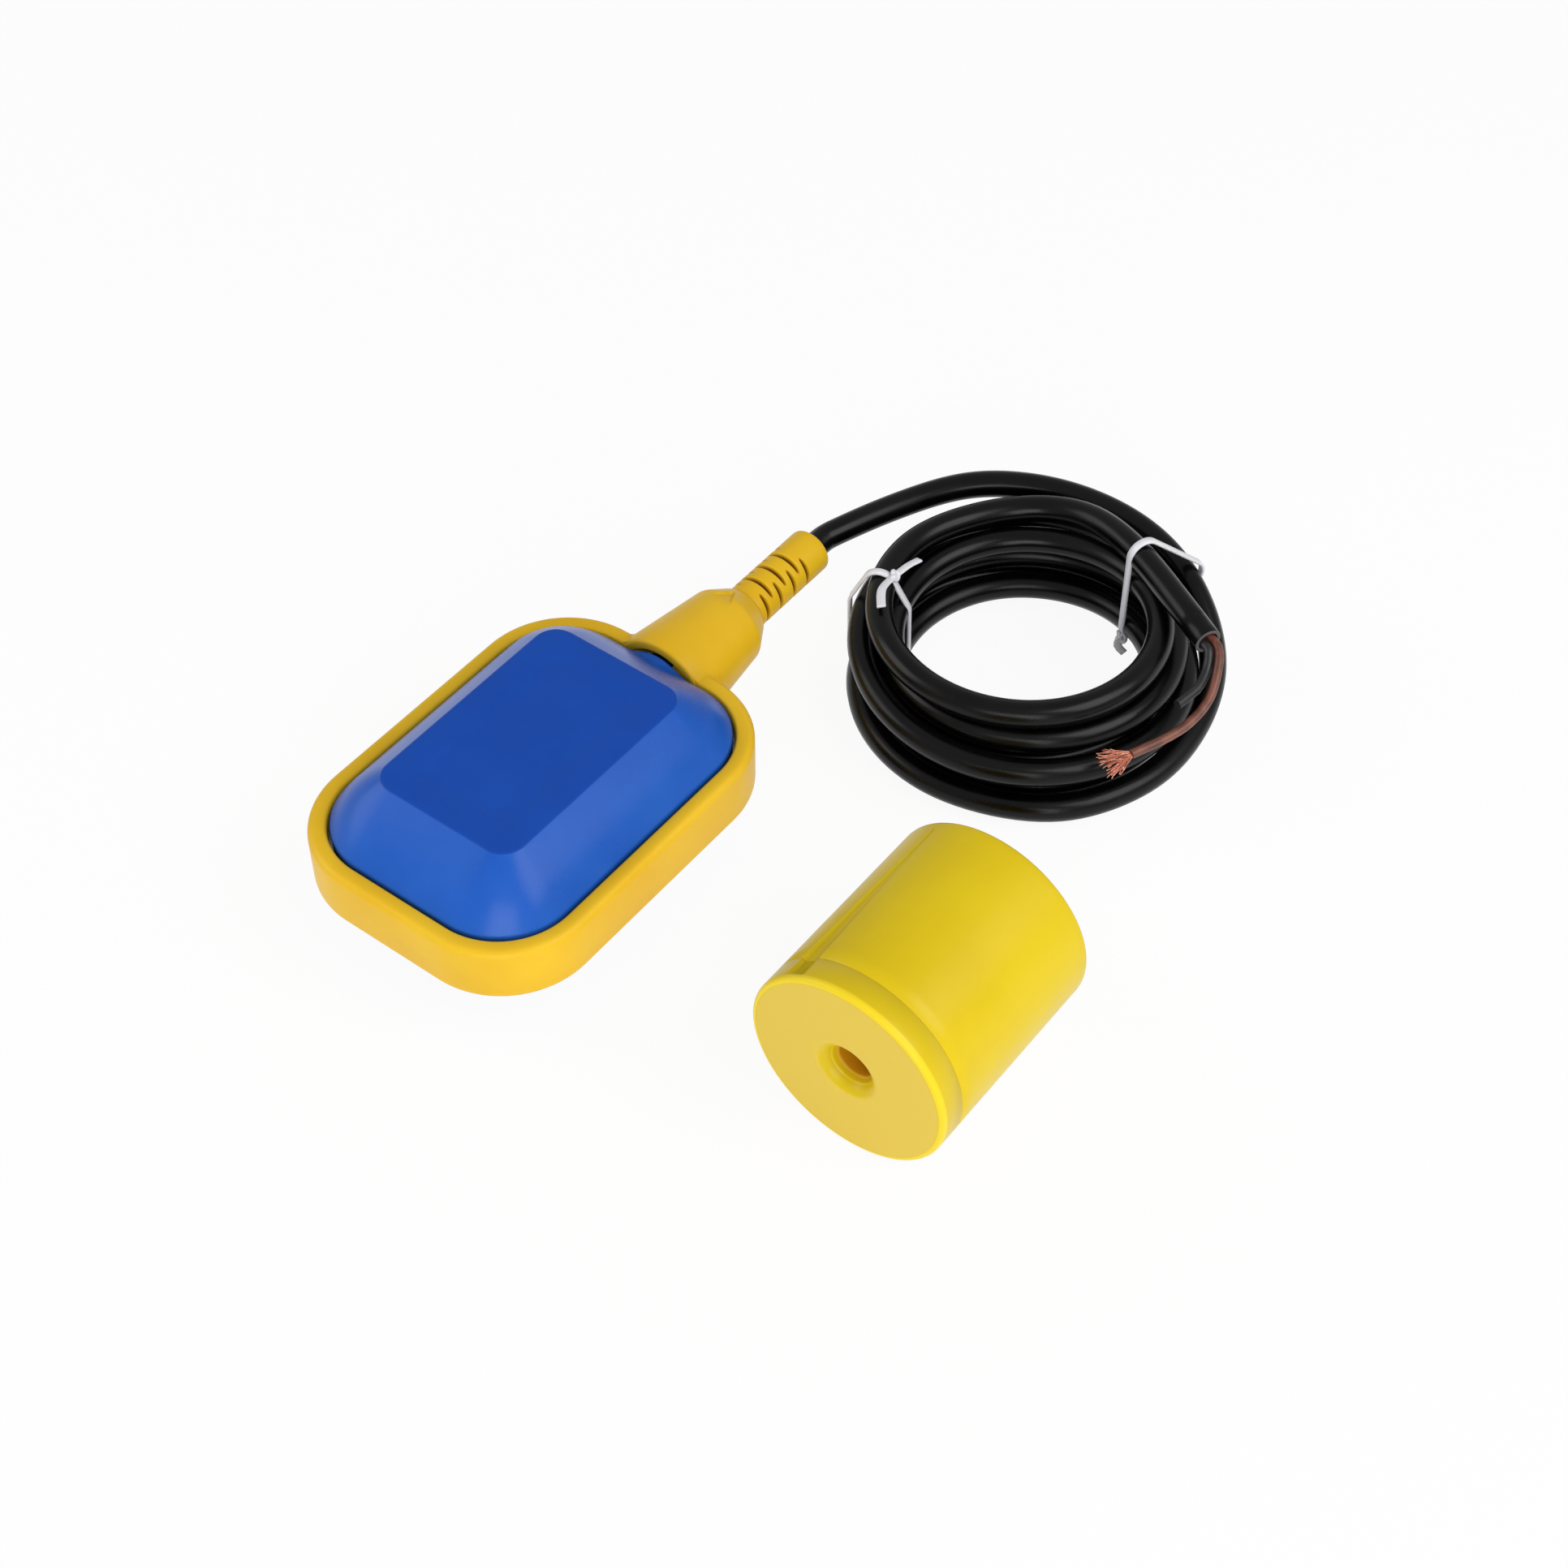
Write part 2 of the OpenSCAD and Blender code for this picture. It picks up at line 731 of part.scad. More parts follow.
module switch_carrier() {
    rail_h = 2 * race_half;
    rail_wid = race_half + carrier_wall;
    color(tray_white) {
        difference() {
            union() {
                translate([tray_x0, -tray_half_wid, tray_top - carrier_wall])
                    cube([tray_x1 - tray_x0, 2 * tray_half_wid, carrier_wall]);
                translate([tray_x0, -rail_wid, tray_top - eps])
                    cube([carrier_wall, 2 * rail_wid, rail_h + eps]);
                for (y = [race_half, -rail_wid]) {
                    translate([tray_x0, y, tray_top - eps])
                        cube([rail_x1 - tray_x0, carrier_wall, rail_h + eps]);
                }
                translate([case_x0 + 1, -case_wid / 2, tray_top - eps])
                    cube([case_depth - 2, case_wid, case_z0 - tray_top + eps]);
                translate([clamp_x0, -clamp_half_wid, tray_top - eps])
                    cube([clamp_len, 2 * clamp_half_wid, mid_z - tray_top + eps]);
            }
            translate([0, 0, mid_z])
                x_rod(clamp_x0 - 1, tray_x1 + 1, cable_r);
            for (side = [-1, 1]) {
                for (sx = [-1, 1]) {
                    translate([sx * rib_screw_x, side * rib_screw_y, 0])
                        cylinder(h = mid_z, r = boss_screw_r);
                }
                translate([clamp_x0 + clamp_len / 2, side * clamp_screw_y, mid_z - clamp_screw_grip])
                    cylinder(h = mid_z, r = boss_screw_r);
                translate([case_hole_x, side * case_hole_y, tray_top - carrier_wall + 0.5])
                    cylinder(h = mid_z, r = boss_screw_r);
            }
        }
    }
}

module carrier_screws() {
    color("silver")
        for (sx = [-1, 1])
            for (sy = [-1, 1])
                translate([sx * rib_screw_x, sy * rib_screw_y, tray_top])
                    screw(boss_screw_r, carrier_wall + carrier_screw_grip);
}

module race_cover() {
    cover_z = mid_z + race_half;
    color([0.8, 0.82, 0.84])
        difference() {
            translate([tray_x0, -(race_half + carrier_wall), cover_z])
                cube([rail_x1 - tray_x0, 2 * (race_half + carrier_wall), 1.5]);
            for (i = [0:3])
                translate([ball_rest_x + i * ball_travel / 3, 0, cover_z - 1])
                    cylinder(h = 4, r = 2);
        }
}

module steel_ball() {
    color([0.75, 0.76, 0.78])
        translate([ball_rest_x, 0, mid_z])
            sphere(r = ball_r);
}

module switch_lever() {
    color([0.83, 0.84, 0.86])
        translate([pivot_x, pivot_y, mid_z])
            rotate([0, 0, -lever_rest])
                difference() {
                    union() {
                        translate([-blade_t / 2, -blade_len, -blade_h / 2])
                            cube([blade_t, blade_len, blade_h]);
                        translate([0, 0, -blade_h / 2])
                            cylinder(h = blade_h, r = curl_r);
                    }
                    translate([0, 0, -blade_h])
                        cylinder(h = 2 * blade_h, r = pin_r + pin_play);
                }
}

module lever_pin() {
    color("silver")
        translate([pivot_x, pivot_y, case_z0])
            cylinder(h = case_thk, r = pin_r);
}

module switch_plunger() {
    tip_x = plunger_x0 + plunger_r;
    color([0.75, 0.12, 0.1])
        translate([0, plunger_y, mid_z]) {
            translate([tip_x, 0, 0])
                sphere(r = plunger_r);
            x_rod(tip_x, collar_x0 + collar_t, plunger_r);
            x_rod(collar_x0, collar_x0 + collar_t, collar_r);
        }
}

// One ear that holds the lever's pin, at one end of the pin
module pin_ear(z0, h) {
    translate([pivot_x, pivot_y, z0]) {
        difference() {
            union() {
                cylinder(h = h, r = ear_r);
                translate([0, -ear_r, 0])
                    cube([case_x0 + 0.5 - pivot_x, 2 * ear_r, h]);
            }
            translate([0, 0, -1])
                cylinder(h = h + 2, r = pin_r);
        }
    }
}

module microswitch_case() {
    color([0.13, 0.13, 0.14]) {
        pin_ear(case_z0, ear_h);
        difference() {
            translate([case_x0, -case_wid / 2, case_z0])
                cube([case_depth, case_wid, cover_z0 - case_z0]);
            translate([case_x0 + case_wall, -case_cavity_wid / 2, case_z0 + case_wall])
                cube([case_depth - 2 * case_wall, case_cavity_wid, case_thk]);
            translate([0, plunger_y, mid_z])
                x_rod(case_x0 - 1, case_x0 + case_wall + 1, plunger_r + plunger_play);
            for (side = [-1, 0, 1])
                terminal(side, case_x1 - case_wall - 1);
            for (side = [-1, 1])
                translate([case_hole_x, side * case_hole_y, 0])
                    cylinder(h = float_thk, r = boss_screw_r + 0.1);
        }
    }
}

module microswitch_cover() {
    color([0.18, 0.18, 0.19]) {
        pin_ear(case_z0 + case_thk - ear_h, ear_h);
        difference() {
            translate([case_x0, -case_wid / 2, cover_z0])
                cube([case_depth, case_wid, cover_t]);
            for (side = [-1, 1])
                translate([case_hole_x, side * case_hole_y, 0])
                    cylinder(h = float_thk, r = boss_screw_r + 0.1);
        }
    }
}

module snap_blade() {
    color([0.78, 0.55, 0.3])
        translate([0, 0, mid_z]) {
            translate([snap_x0, -snap_half, -snap_h / 2])
                cube([snap_t, 2 * snap_half, snap_h]);
            translate([0, terminal_y, 0])
                x_rod(snap_x0 + snap_t, snap_x0 + snap_t + contact_t, contact_r);
        }
}

// Terminal blade through the back wall, reaching inwards to x0
module terminal(side, x0) {
    translate([x0, side * terminal_y - terminal_w / 2, mid_z - terminal_t / 2])
        cube([terminal_x1 - x0, terminal_w, terminal_t]);
}

module switch_terminals() {
    color([0.83, 0.68, 0.36]) {
        terminal(-1, snap_x0 + snap_t);
        terminal(0, case_x1 - case_wall - 1);
        terminal(1, snap_x0 + snap_t + contact_t + contact_gap);
    }
}

module switch_screws() {
    color("silver")
        for (side = [-1, 1])
            translate([case_hole_x, side * case_hole_y, case_z0 + case_thk])
                screw(boss_screw_r, case_thk + switch_screw_grip);
}

module float_cable() {
    color(cable_black)
        tube(free_path, cable_r, tube_sides);
}

module cable_coil() {
    color(cable_black)
        tube(coil_path, cable_r, coil_sides);
}

module brown_conductor() {
    color(core_brown)
        tube(smooth_path(concat(
            [brown_start, brown_start + core_d * sheath_way], brown_route, [brown_end]
        ), core_step), core_d / 2, 8);
}

module black_conductor() {
    color(cable_black)
        tube(smooth_path(concat(
            [black_start, black_start + core_d * sheath_way], black_route, [black_end]
        ), core_step), core_d / 2, 8);
}

// Bared strands, splayed from the end of the brown core
module copper_strands() {
    way = unit(brown_end - brown_route[len(brown_route) - 1]);
    color([0.8, 0.45, 0.28])
        translate(brown_end)
            rotate([0, acos(way.z), atan2(way.y, way.x)])
                for (i = [0:8])
                    rotate([0, 0, i * 45])
                        translate([i == 8 ? 0 : core_d / 3.2, 0, 0])
                            rotate([0, i == 8 ? 0 : 12 + 5 * (i % 3), 0])
                                cylinder(h = strand_len - i % 3, r = strand_r, $fn = 16);
}

// Strap round every cable that crosses one upright plane of the coil
module tie_loop(a, extra) {
    turns = concat(plane_turns(a), extra);
    translate([coil_x, coil_y, 0])
        rotate([90, 0, a])
            linear_extrude(tie_w, center = true)
                difference() {
                    hull()
                        for (p = turns)
                            translate(p)
                                circle(cable_r + coil_bottom, $fn = 32);
                    hull()
                        for (p = turns)
                            translate(p)
                                circle(cable_r + coil_bottom - tie_t, $fn = 32);
                }
}

// Knot on a strap beside one turn, with its cut ends as offsets from the knot
module tie_knot(a, turn, side, ends) {
    reach = cable_r + tie_play + knot_r;
    spot = turn + reach * [cos(side), sin(side)];
    middle = [coil_x + spot.x * cos(a), coil_y + spot.x * sin(a), spot.y];
    translate(middle)
        sphere(r = knot_r, $fn = 24);
    for (e = ends)
        tube([middle, middle + e[0], middle + e[1]], tie_end_r, 6);
}

module left_tie() {
    turns = plane_turns(left_tie_angle);
    color(tie_white) {
        tie_loop(left_tie_angle, []);
        tie_knot(left_tie_angle, turns[len(turns) - 1], left_knot_side, left_tie_ends);
    }
}

module right_tie() {
    color(tie_white) {
        tie_loop(right_tie_angle, [
            for (p = right_tie_points) [norm([p.x - coil_x, p.y - coil_y]) + tie_slack, p.z + tie_slack]
        ]);
        tie_knot(right_tie_angle, plane_turns(right_tie_angle)[1], right_knot_side, right_tie_ends);
    }
}

// Places the counterweight's parts, drawn along Z from the cap's face, on their axis
weight_x0 = -24.5;
weight_y = -113.5;
weight_r = weight_d / 2;
sleeve_r = weight_bore / 2 + 2;
plug_depth = 2;
mouth_depth = 4;
weight_edge_r = 1.2;
grip_len = 9;
groove_angle = 38;
groove_depth = 1.2;
groove_x0 = 3;
groove_x1 = weight_len - 3;
groove_w0 = 4;
groove_w1 = 1;

module weight_place() {
    translate([weight_x0, weight_y, weight_r])
        rotate([0, 90, 0])
            children();
}

// Tapered groove along the counterweight's side, widest beside the cap
module weight_groove() {
    rotate([0, 0, 180 - groove_angle])
        translate([weight_r - groove_depth, 0, 0])
            rotate([0, 90, 0])
                linear_extrude(2 * groove_depth)
                    polygon([
                        [-groove_x0, -groove_w0 / 2],
                        [-groove_x0, groove_w0 / 2],
                        [-groove_x1, groove_w1 / 2],
                        [-groove_x1, -groove_w1 / 2]
                    ]);
}

module weight_shell() {
    inner_r = weight_r - weight_wall;
    floor_x = weight_len - weight_wall;
    color(weight_yellow)
        weight_place()
            difference() {
                rotate_extrude()
                    difference() {
                        union() {
                            translate([0, cap_len])
                                square([weight_r, weight_len - weight_edge_r - cap_len]);
                            translate([0, cap_len])
                                square([weight_r - weight_edge_r, weight_len - cap_len]);
                            translate([weight_r - weight_edge_r, weight_len - weight_edge_r])
                                circle(weight_edge_r);
                        }
                        translate([-1, cap_len - 1])
                            square([inner_r + 1, grip_len + 1]);
                        translate([sleeve_r, cap_len - 1])
                            square([inner_r - sleeve_r, floor_x - cap_len + 1]);
                        translate([-1, 0])
                            square([weight_bore / 2 + 1, weight_len + 1]);
                    }
                weight_groove();
            }
}

module weight_cap() {
    spigot_r = weight_r - weight_wall;
    color(weight_yellow)
        weight_place()
            difference() {
                rotate_extrude()
                    difference() {
                        union() {
                            translate([0, weight_edge_r])
                                square([weight_r, cap_len - weight_edge_r]);
                            square([weight_r - weight_edge_r, cap_len]);
                            translate([weight_r - weight_edge_r, weight_edge_r])
                                circle(weight_edge_r);
                            square([spigot_r, cap_len + plug_depth]);
                        }
                        translate([-1, -1])
                            square([weight_bore / 2 + 1, cap_len + plug_depth + 2]);
                        polygon([
                            [0, -1],
                            [mouth_d / 2, -1],
                            [mouth_d / 2, 0],
                            [weight_bore / 2, mouth_depth],
                            [0, mouth_depth]
                        ]);
                    }
                intersection() {
                    weight_groove();
                    cylinder(h = cap_len, r = weight_r + 1);
                }
            }
}

module ballast_core() {
    fill_len = weight_len - cap_len - plug_depth - weight_wall;
    color([0.42, 0.33, 0.28])
        weight_place()
            translate([0, 0, cap_len + plug_depth])
                difference() {
                    cylinder(h = fill_len, r = weight_r - weight_wall);
                    translate([0, 0, -1])
                        cylinder(h = fill_len + 2, r = sleeve_r);
                }
}

module cable_grip() {
    color([0.85, 0.78, 0.2])
        weight_place()
            difference() {
                translate([0, 0, cap_len + plug_depth])
                    cylinder(h = grip_len - plug_depth, r = sleeve_r);
                cylinder(h = weight_len, r = weight_bore / 2);
                for (a = [0, 90])
                    rotate([0, 0, a])
                        translate([-sleeve_r, -0.6, cap_len + plug_depth + 1.5])
                            cube([2 * sleeve_r, 1.2, grip_len]);
            }
}

upper_shell();
lower_shell();
float_band();
strain_relief_boot();
seal_grommet();
grommet_washer();
neck_cable();
cable_clamp();
clamp_screws();
lead_brown();
lead_black();
switch_carrier();
carrier_screws();
race_cover();
steel_ball();
switch_lever();
lever_pin();
switch_plunger();
microswitch_case();
microswitch_cover();
snap_blade();
switch_terminals();
switch_screws();
float_cable();
cable_coil();
brown_conductor();
black_conductor();
copper_strands();
left_tie();
right_tie();
weight_shell();
weight_cap();
ballast_core();
cable_grip();
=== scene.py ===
import math

import bmesh
import bpy
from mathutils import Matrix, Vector


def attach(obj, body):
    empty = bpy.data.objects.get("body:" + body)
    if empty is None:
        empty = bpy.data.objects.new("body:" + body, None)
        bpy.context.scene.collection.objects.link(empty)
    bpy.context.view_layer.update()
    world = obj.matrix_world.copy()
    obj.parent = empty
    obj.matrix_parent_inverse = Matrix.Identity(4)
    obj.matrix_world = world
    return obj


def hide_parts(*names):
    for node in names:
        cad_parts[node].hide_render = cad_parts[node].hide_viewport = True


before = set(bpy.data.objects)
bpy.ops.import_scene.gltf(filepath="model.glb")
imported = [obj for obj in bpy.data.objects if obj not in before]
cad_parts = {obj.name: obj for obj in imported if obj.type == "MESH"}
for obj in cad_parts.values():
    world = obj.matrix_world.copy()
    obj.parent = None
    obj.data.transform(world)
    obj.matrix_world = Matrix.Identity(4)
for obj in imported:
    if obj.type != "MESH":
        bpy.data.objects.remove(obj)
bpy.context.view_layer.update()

# The view: a long lens looks down on the float, the coil and the counterweight
# from the float's closed end, over the counterweight's shoulder.
look_down, heading = 47.56, 37.17
camera = bpy.data.objects.new("camera", bpy.data.cameras.new("camera"))
bpy.context.collection.objects.link(camera)
camera.location = (-0.3311, -0.3285, 0.5327)
camera.rotation_euler = (math.radians(90 - look_down), 0, math.radians(heading - 90))
camera.data.lens = 63.48
camera.data.sensor_width = 36
camera.data.clip_start = 0.01
bpy.context.scene.camera = camera


# The lamps: three square soft boxes of plain white light, one on each side and
# one from behind the camera, all turned towards the middle of the object.
middle = (0.05, -0.05, 0.02)


def lamp(name, place, aim, size, power):
    """A square soft box that faces a point."""
    light = bpy.data.objects.new(name, bpy.data.lights.new(name, "AREA"))
    bpy.context.collection.objects.link(light)
    light.location = place
    light.rotation_euler = (Vector(aim) - Vector(place)).to_track_quat("-Z", "Y").to_euler()
    light.data.size = size
    light.data.energy = power


lamp("key_box", (0.2, -0.85, 0.85), middle, 0.8, 7.0)
lamp("front_box", (-0.85, -0.65, 0.4), middle, 0.7, 5.9)
lamp("back_box", (-0.45, 0.85, 0.55), middle, 0.7, 3.5)


class Wire:
    """The output of one shader node.  Sums and products of wires add the nodes for them."""

    def __init__(self, finish, socket):
        self.finish = finish
        self.socket = socket

    def maths(self, operation, *values):
        return self.finish.node("ShaderNodeMath", {"operation": operation}, dict(enumerate(values)))

    def __add__(self, other):
        return self.maths("ADD", self, other)

    def __sub__(self, other):
        return self.maths("SUBTRACT", self, other)

    def __rsub__(self, other):
        return self.maths("SUBTRACT", other, self)

    def __mul__(self, other):
        return self.maths("MULTIPLY", self, other)

    def __pow__(self, other):
        return self.maths("POWER", self, other)

    __radd__ = __add__
    __rmul__ = __mul__

    def between(self, low, high):
        """0 below low, 1 above high, and a soft step from one to the other."""
        return self.finish.node(
            "ShaderNodeMapRange", {"interpolation_type": "SMOOTHSTEP"},
            {"Value": self, "From Min": low, "From Max": high},
        )


class Finish:
    """The node tree of a material or of the world."""

    def __init__(self, name, holder=None):
        self.holder = holder or bpy.data.materials.new(name)
        self.holder.use_nodes = True
        self.tree = self.holder.node_tree
        self.tree.nodes.clear()

    def node(self, kind, settings=None, inputs=None, out=0):
        made = self.tree.nodes.new(kind)
        for key, value in (settings or {}).items():
            setattr(made, key, value)
        for key, value in (inputs or {}).items():
            if isinstance(value, Wire):
                self.tree.links.new(value.socket, made.inputs[key])
            else:
                made.inputs[key].default_value = value
        return Wire(self, made.outputs[out])

    def place(self):
        """The surface point in the object's own metres."""
        return self.node("ShaderNodeTexCoord", out="Object")

    def along(self, axis):
        """How far the surface point is along one axis."""
        return self.node("ShaderNodeSeparateXYZ", None, {0: self.place()}, out=axis)

    def stretched(self, scale):
        return self.node("ShaderNodeMapping", None, {"Vector": self.place(), "Scale": scale})

    def noise(self, scale, detail=3.0, rough=0.5, vector=None):
        return self.node(
            "ShaderNodeTexNoise", None,
            {"Vector": vector or self.place(), "Scale": scale, "Detail": detail, "Roughness": rough},
        )

    def mix(self, factor, first, second):
        return self.node("ShaderNodeMix", {"data_type": "RGBA"}, {0: factor, 6: first, 7: second}, out=2)

    def bump(self, height, strength, distance):
        return self.node(
            "ShaderNodeBump", None, {"Height": height, "Strength": strength, "Distance": distance}
        )

    def seen(self):
        """1 for the rays of the camera and of mirrors and glass, 0 for the light on the object."""
        seen, *others = [
            self.node("ShaderNodeLightPath", out=ray)
            for ray in ("Is Camera Ray", "Is Glossy Ray", "Is Transmission Ray")
        ]
        for ray in others:
            seen = seen.maths("MAXIMUM", seen, ray)
        return seen

    def surface(self, **sockets):
        """A Principled shader; its sockets are named with _ for a space."""
        inputs = {key.replace("_", " "): value for key, value in sockets.items()}
        return self.node("ShaderNodeBsdfPrincipled", None, inputs)

    def done(self, shader=None, **sockets):
        """The material, ended with a shader or with a Principled one."""
        ending = self.tree.nodes.new("ShaderNodeOutputMaterial")
        self.tree.links.new((shader or self.surface(**sockets)).socket, ending.inputs["Surface"])
        return self.holder


def paint(red, green, blue):
    """A shader colour from the eight bit numbers of a colour chart."""
    straight = [c / 255 for c in (red, green, blue)]
    return tuple(c / 12.92 if c < 0.04045 else ((c + 0.055) / 1.055) ** 2.4 for c in straight) + (1,)


# The sheet of white paper that everything lies on.  The camera and mirrors see it
# close to plain white, with a part of its shadows left.
paper_half, paper_glow = 3, 0.93
paper = Finish("white_paper")
matt = paper.surface(Base_Color=(0.9, 0.9, 0.9, 1), Roughness=0.9, Specular_IOR_Level=0.1)
glow = paper.node("ShaderNodeEmission", None, {"Color": (1, 1, 1, 1), "Strength": 1})
paper_finish = paper.done(
    paper.node("ShaderNodeMixShader", None, {0: paper.seen() * paper_glow, 1: matt, 2: glow})
)
floor_mesh = bpy.data.meshes.new("floor")
floor_mesh.from_pydata(
    [(x * paper_half, y * paper_half, 0) for x, y in ((-1, -1), (1, -1), (1, 1), (-1, 1))], [], [(0, 1, 2, 3)]
)
floor_mesh.materials.append(paper_finish)
floor = bpy.data.objects.new("floor", floor_mesh)
bpy.context.collection.objects.link(floor)

# The room: plain white walls that light the object softly from all round, and
# are a little brighter to the camera and to mirrors.
wall_light, wall_glow = 0.34, 0.2
studio = Finish("studio", bpy.data.worlds.new("studio"))
walls = studio.node(
    "ShaderNodeBackground", None, {"Color": (1, 1, 1, 1), "Strength": wall_light + wall_glow * studio.seen()}
)
studio.tree.links.new(walls.socket, studio.tree.nodes.new("ShaderNodeOutputWorld").inputs["Surface"])
bpy.context.scene.world = studio.holder
bpy.context.scene.view_settings.view_transform = "Standard"

# The cable: black rubber sheath, moulded into the boot at one end and cut off
# at the other.  A free stretch runs round the outside of a coil of four layers,
# and the last stretch crosses over the top of it.
mm = 0.001
cable_d = 7.4
cable_r = cable_d / 2
coil_middle = (122.5, -64.5)
coil_min_r = 34
coil_start = 200
coil_lean, lean_way = 1.5, math.radians(37)
turn_pitch = 7.9
layer_turns = 1.5
layer_changes = [j * layer_turns for j in (1, 2, 3)]
climb_turns = 0.5
coil_turns = 5.42
coil_bottom = 1.15


def coil_point(s):
    """Middle of the cable after s turns, wound clockwise in layers that spiral in and out."""
    layer = sum(1 for change in layer_changes if s >= change)
    level = sum(max(0, min(1, (s - change + climb_turns / 2) / climb_turns)) for change in layer_changes)
    along = s / layer_turns - layer
    outward = 1 - along if layer % 2 == 0 else along
    radius = coil_min_r + turn_pitch * layer_turns * outward
    angle = math.radians(coil_start - 360 * s)
    lean = coil_lean * (level / 3 - 0.5)
    return Vector((
        coil_middle[0] + radius * math.cos(angle) + lean * math.cos(lean_way),
        coil_middle[1] + radius * math.sin(angle) + lean * math.sin(lean_way),
        coil_bottom + cable_r + turn_pitch * level,
    ))


def smooth_path(points, step):
    """A curve through points, with a point about every step between the second and the last but one."""
    points = [Vector(p) for p in points]
    path = [points[0]]
    for a, b, c, d in zip(points, points[1:], points[2:], points[3:]):
        cuts = max(1, round((c - b).length / step))
        for k in range(cuts):
            t = k / cuts
            path.append(0.5 * (
                2 * b + (c - a) * t + (2 * a - 5 * b + 4 * c - d) * t * t + (3 * b - a - 3 * c + d) * t ** 3
            ))
    return path + points[-2:]


def eased(path, rounds, held=4):
    """The path with its bends evened out, but for a few points at either end."""
    for _ in range(rounds):
        path = path[:held] + [
            (a + 2 * b + c) / 4 for a, b, c in zip(path[held - 1:], path[held:], path[held + 1:-held + 1])
        ] + path[-held:]
    return path


path_step, ease_rounds, turn_points = 2, 30, 120
last_start = coil_turns - 1 / 24
coil_way = (coil_point(0.002) - coil_point(-0.002)).normalized()
coil_mouth = coil_point(0) - cable_d * coil_way
cable_exit = Vector((114, 0, 22))
free_route = [
    (124.5, -1.9, 22.4), (133.5, -5.6, 23.1), (146.6, -13.3, 25), (157, -22, 27.5),
    (164.5, -33.5, 28), (169.5, -43.5, 27.5), (172.5, -54, 26.5), (173.5, -66, 25),
    (171.5, -77.5, 23.5), (167.5, -86.5, 21.5), (162, -96, 17.5), (154, -105, 11.5),
    (143.5, -110, 7.5), (131, -112, 5.5), (118.5, -112.5, 5), (106, -109.5, 5), (95, -103.5, 5),
]
last_route = [
    (159.5, -47, 30.5), (161.5, -59, 32.7), (157, -71.5, 34.7),
    (153.5, -79.5, 35.5), (145, -94, 36), (140.5, -103, 35.2),
]
sheath_end = Vector((137, -110, 34.5))
sheath_way = Vector((-0.46, -0.88, -0.06)).normalized()
sheath_hollow = 2.4
free_path = smooth_path([
    cable_exit, cable_exit + Vector((5.5, -0.2, 0)), *free_route, coil_mouth - cable_d * coil_way, coil_mouth,
], path_step)
wound_path = [coil_point(i / turn_points) for i in range(int(last_start * turn_points))]
last_path = smooth_path([
    coil_point(last_start), coil_point(coil_turns), *last_route,
    sheath_end - cable_d * sheath_way, sheath_end - sheath_hollow * sheath_way,
], path_step)
cable_path = eased(free_path + wound_path + last_path, ease_rounds)


def cord_piece(name, points, radius, roundness=5):
    """A round cord along points in millimetres, as one open curve."""
    line = bpy.data.curves.new(name, "CURVE")
    line.dimensions = "3D"
    spline = line.splines.new("POLY")
    spline.points.add(len(points) - 1)
    for spot, point in zip(spline.points, points):
        spot.co = (*(point * mm), 1)
    spline.use_smooth = True
    line.bevel_depth = radius * mm
    line.bevel_resolution = roundness
    line.use_fill_caps = True
    piece = bpy.data.objects.new(name, line)
    bpy.context.collection.objects.link(piece)
    return piece


rubber = Finish("cable_sheath")
grain = rubber.noise(1500, 2, 0.6)
smear = rubber.noise(60, 4, 0.55)
sheath_black = rubber.done(
    Base_Color=rubber.mix(smear.between(0.35, 0.7), paint(2, 2, 3), paint(6, 6, 7)),
    Roughness=0.23 + 0.1 * smear.between(0.3, 0.75),
    Specular_IOR_Level=0.22,
    Normal=rubber.bump(grain, 0.12, 0.00006),
)
cable = cord_piece("cable", cable_path, cable_r)
cable.data.materials.append(sheath_black)
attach(cable, "float")
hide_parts("float_cable", "cable_coil")

# The cut end of the sheath: a short empty sleeve of the same rubber, where the
# two cores come out.


def skin(name, rings, closed=True, caps=(False, False)):
    """A mesh over rings of points in millimetres, each with as many points."""
    count = len(rings[0])
    faces = []
    for i in range(len(rings) - 1):
        for k in range(count if closed else count - 1):
            a, b = i * count + k, i * count + (k + 1) % count
            faces.append((a, b, b + count, a + count))
    if caps[0]:
        faces.append(tuple(range(count - 1, -1, -1)))
    if caps[1]:
        faces.append(tuple((len(rings) - 1) * count + k for k in range(count)))
    mesh = bpy.data.meshes.new(name)
    mesh.from_pydata([tuple(Vector(p) * mm) for ring in rings for p in ring], [], faces)
    fixed = bmesh.new()
    fixed.from_mesh(mesh)
    bmesh.ops.recalc_face_normals(fixed, faces=fixed.faces)
    fixed.to_mesh(mesh)
    fixed.free()
    mesh.shade_smooth()
    piece = bpy.data.objects.new(name, mesh)
    bpy.context.collection.objects.link(piece)
    return piece


def turned(start, way, profile, count=40):
    """Rings of a turned profile of (distance along, radius) about a line."""
    side = way.cross(Vector((0, 0, 1))).normalized()
    up = side.cross(way)
    angles = [2 * math.pi * k / count for k in range(count)]
    return [
        [start + along * way + radius * (math.cos(a) * side + math.sin(a) * up) for a in angles]
        for along, radius in profile
    ]


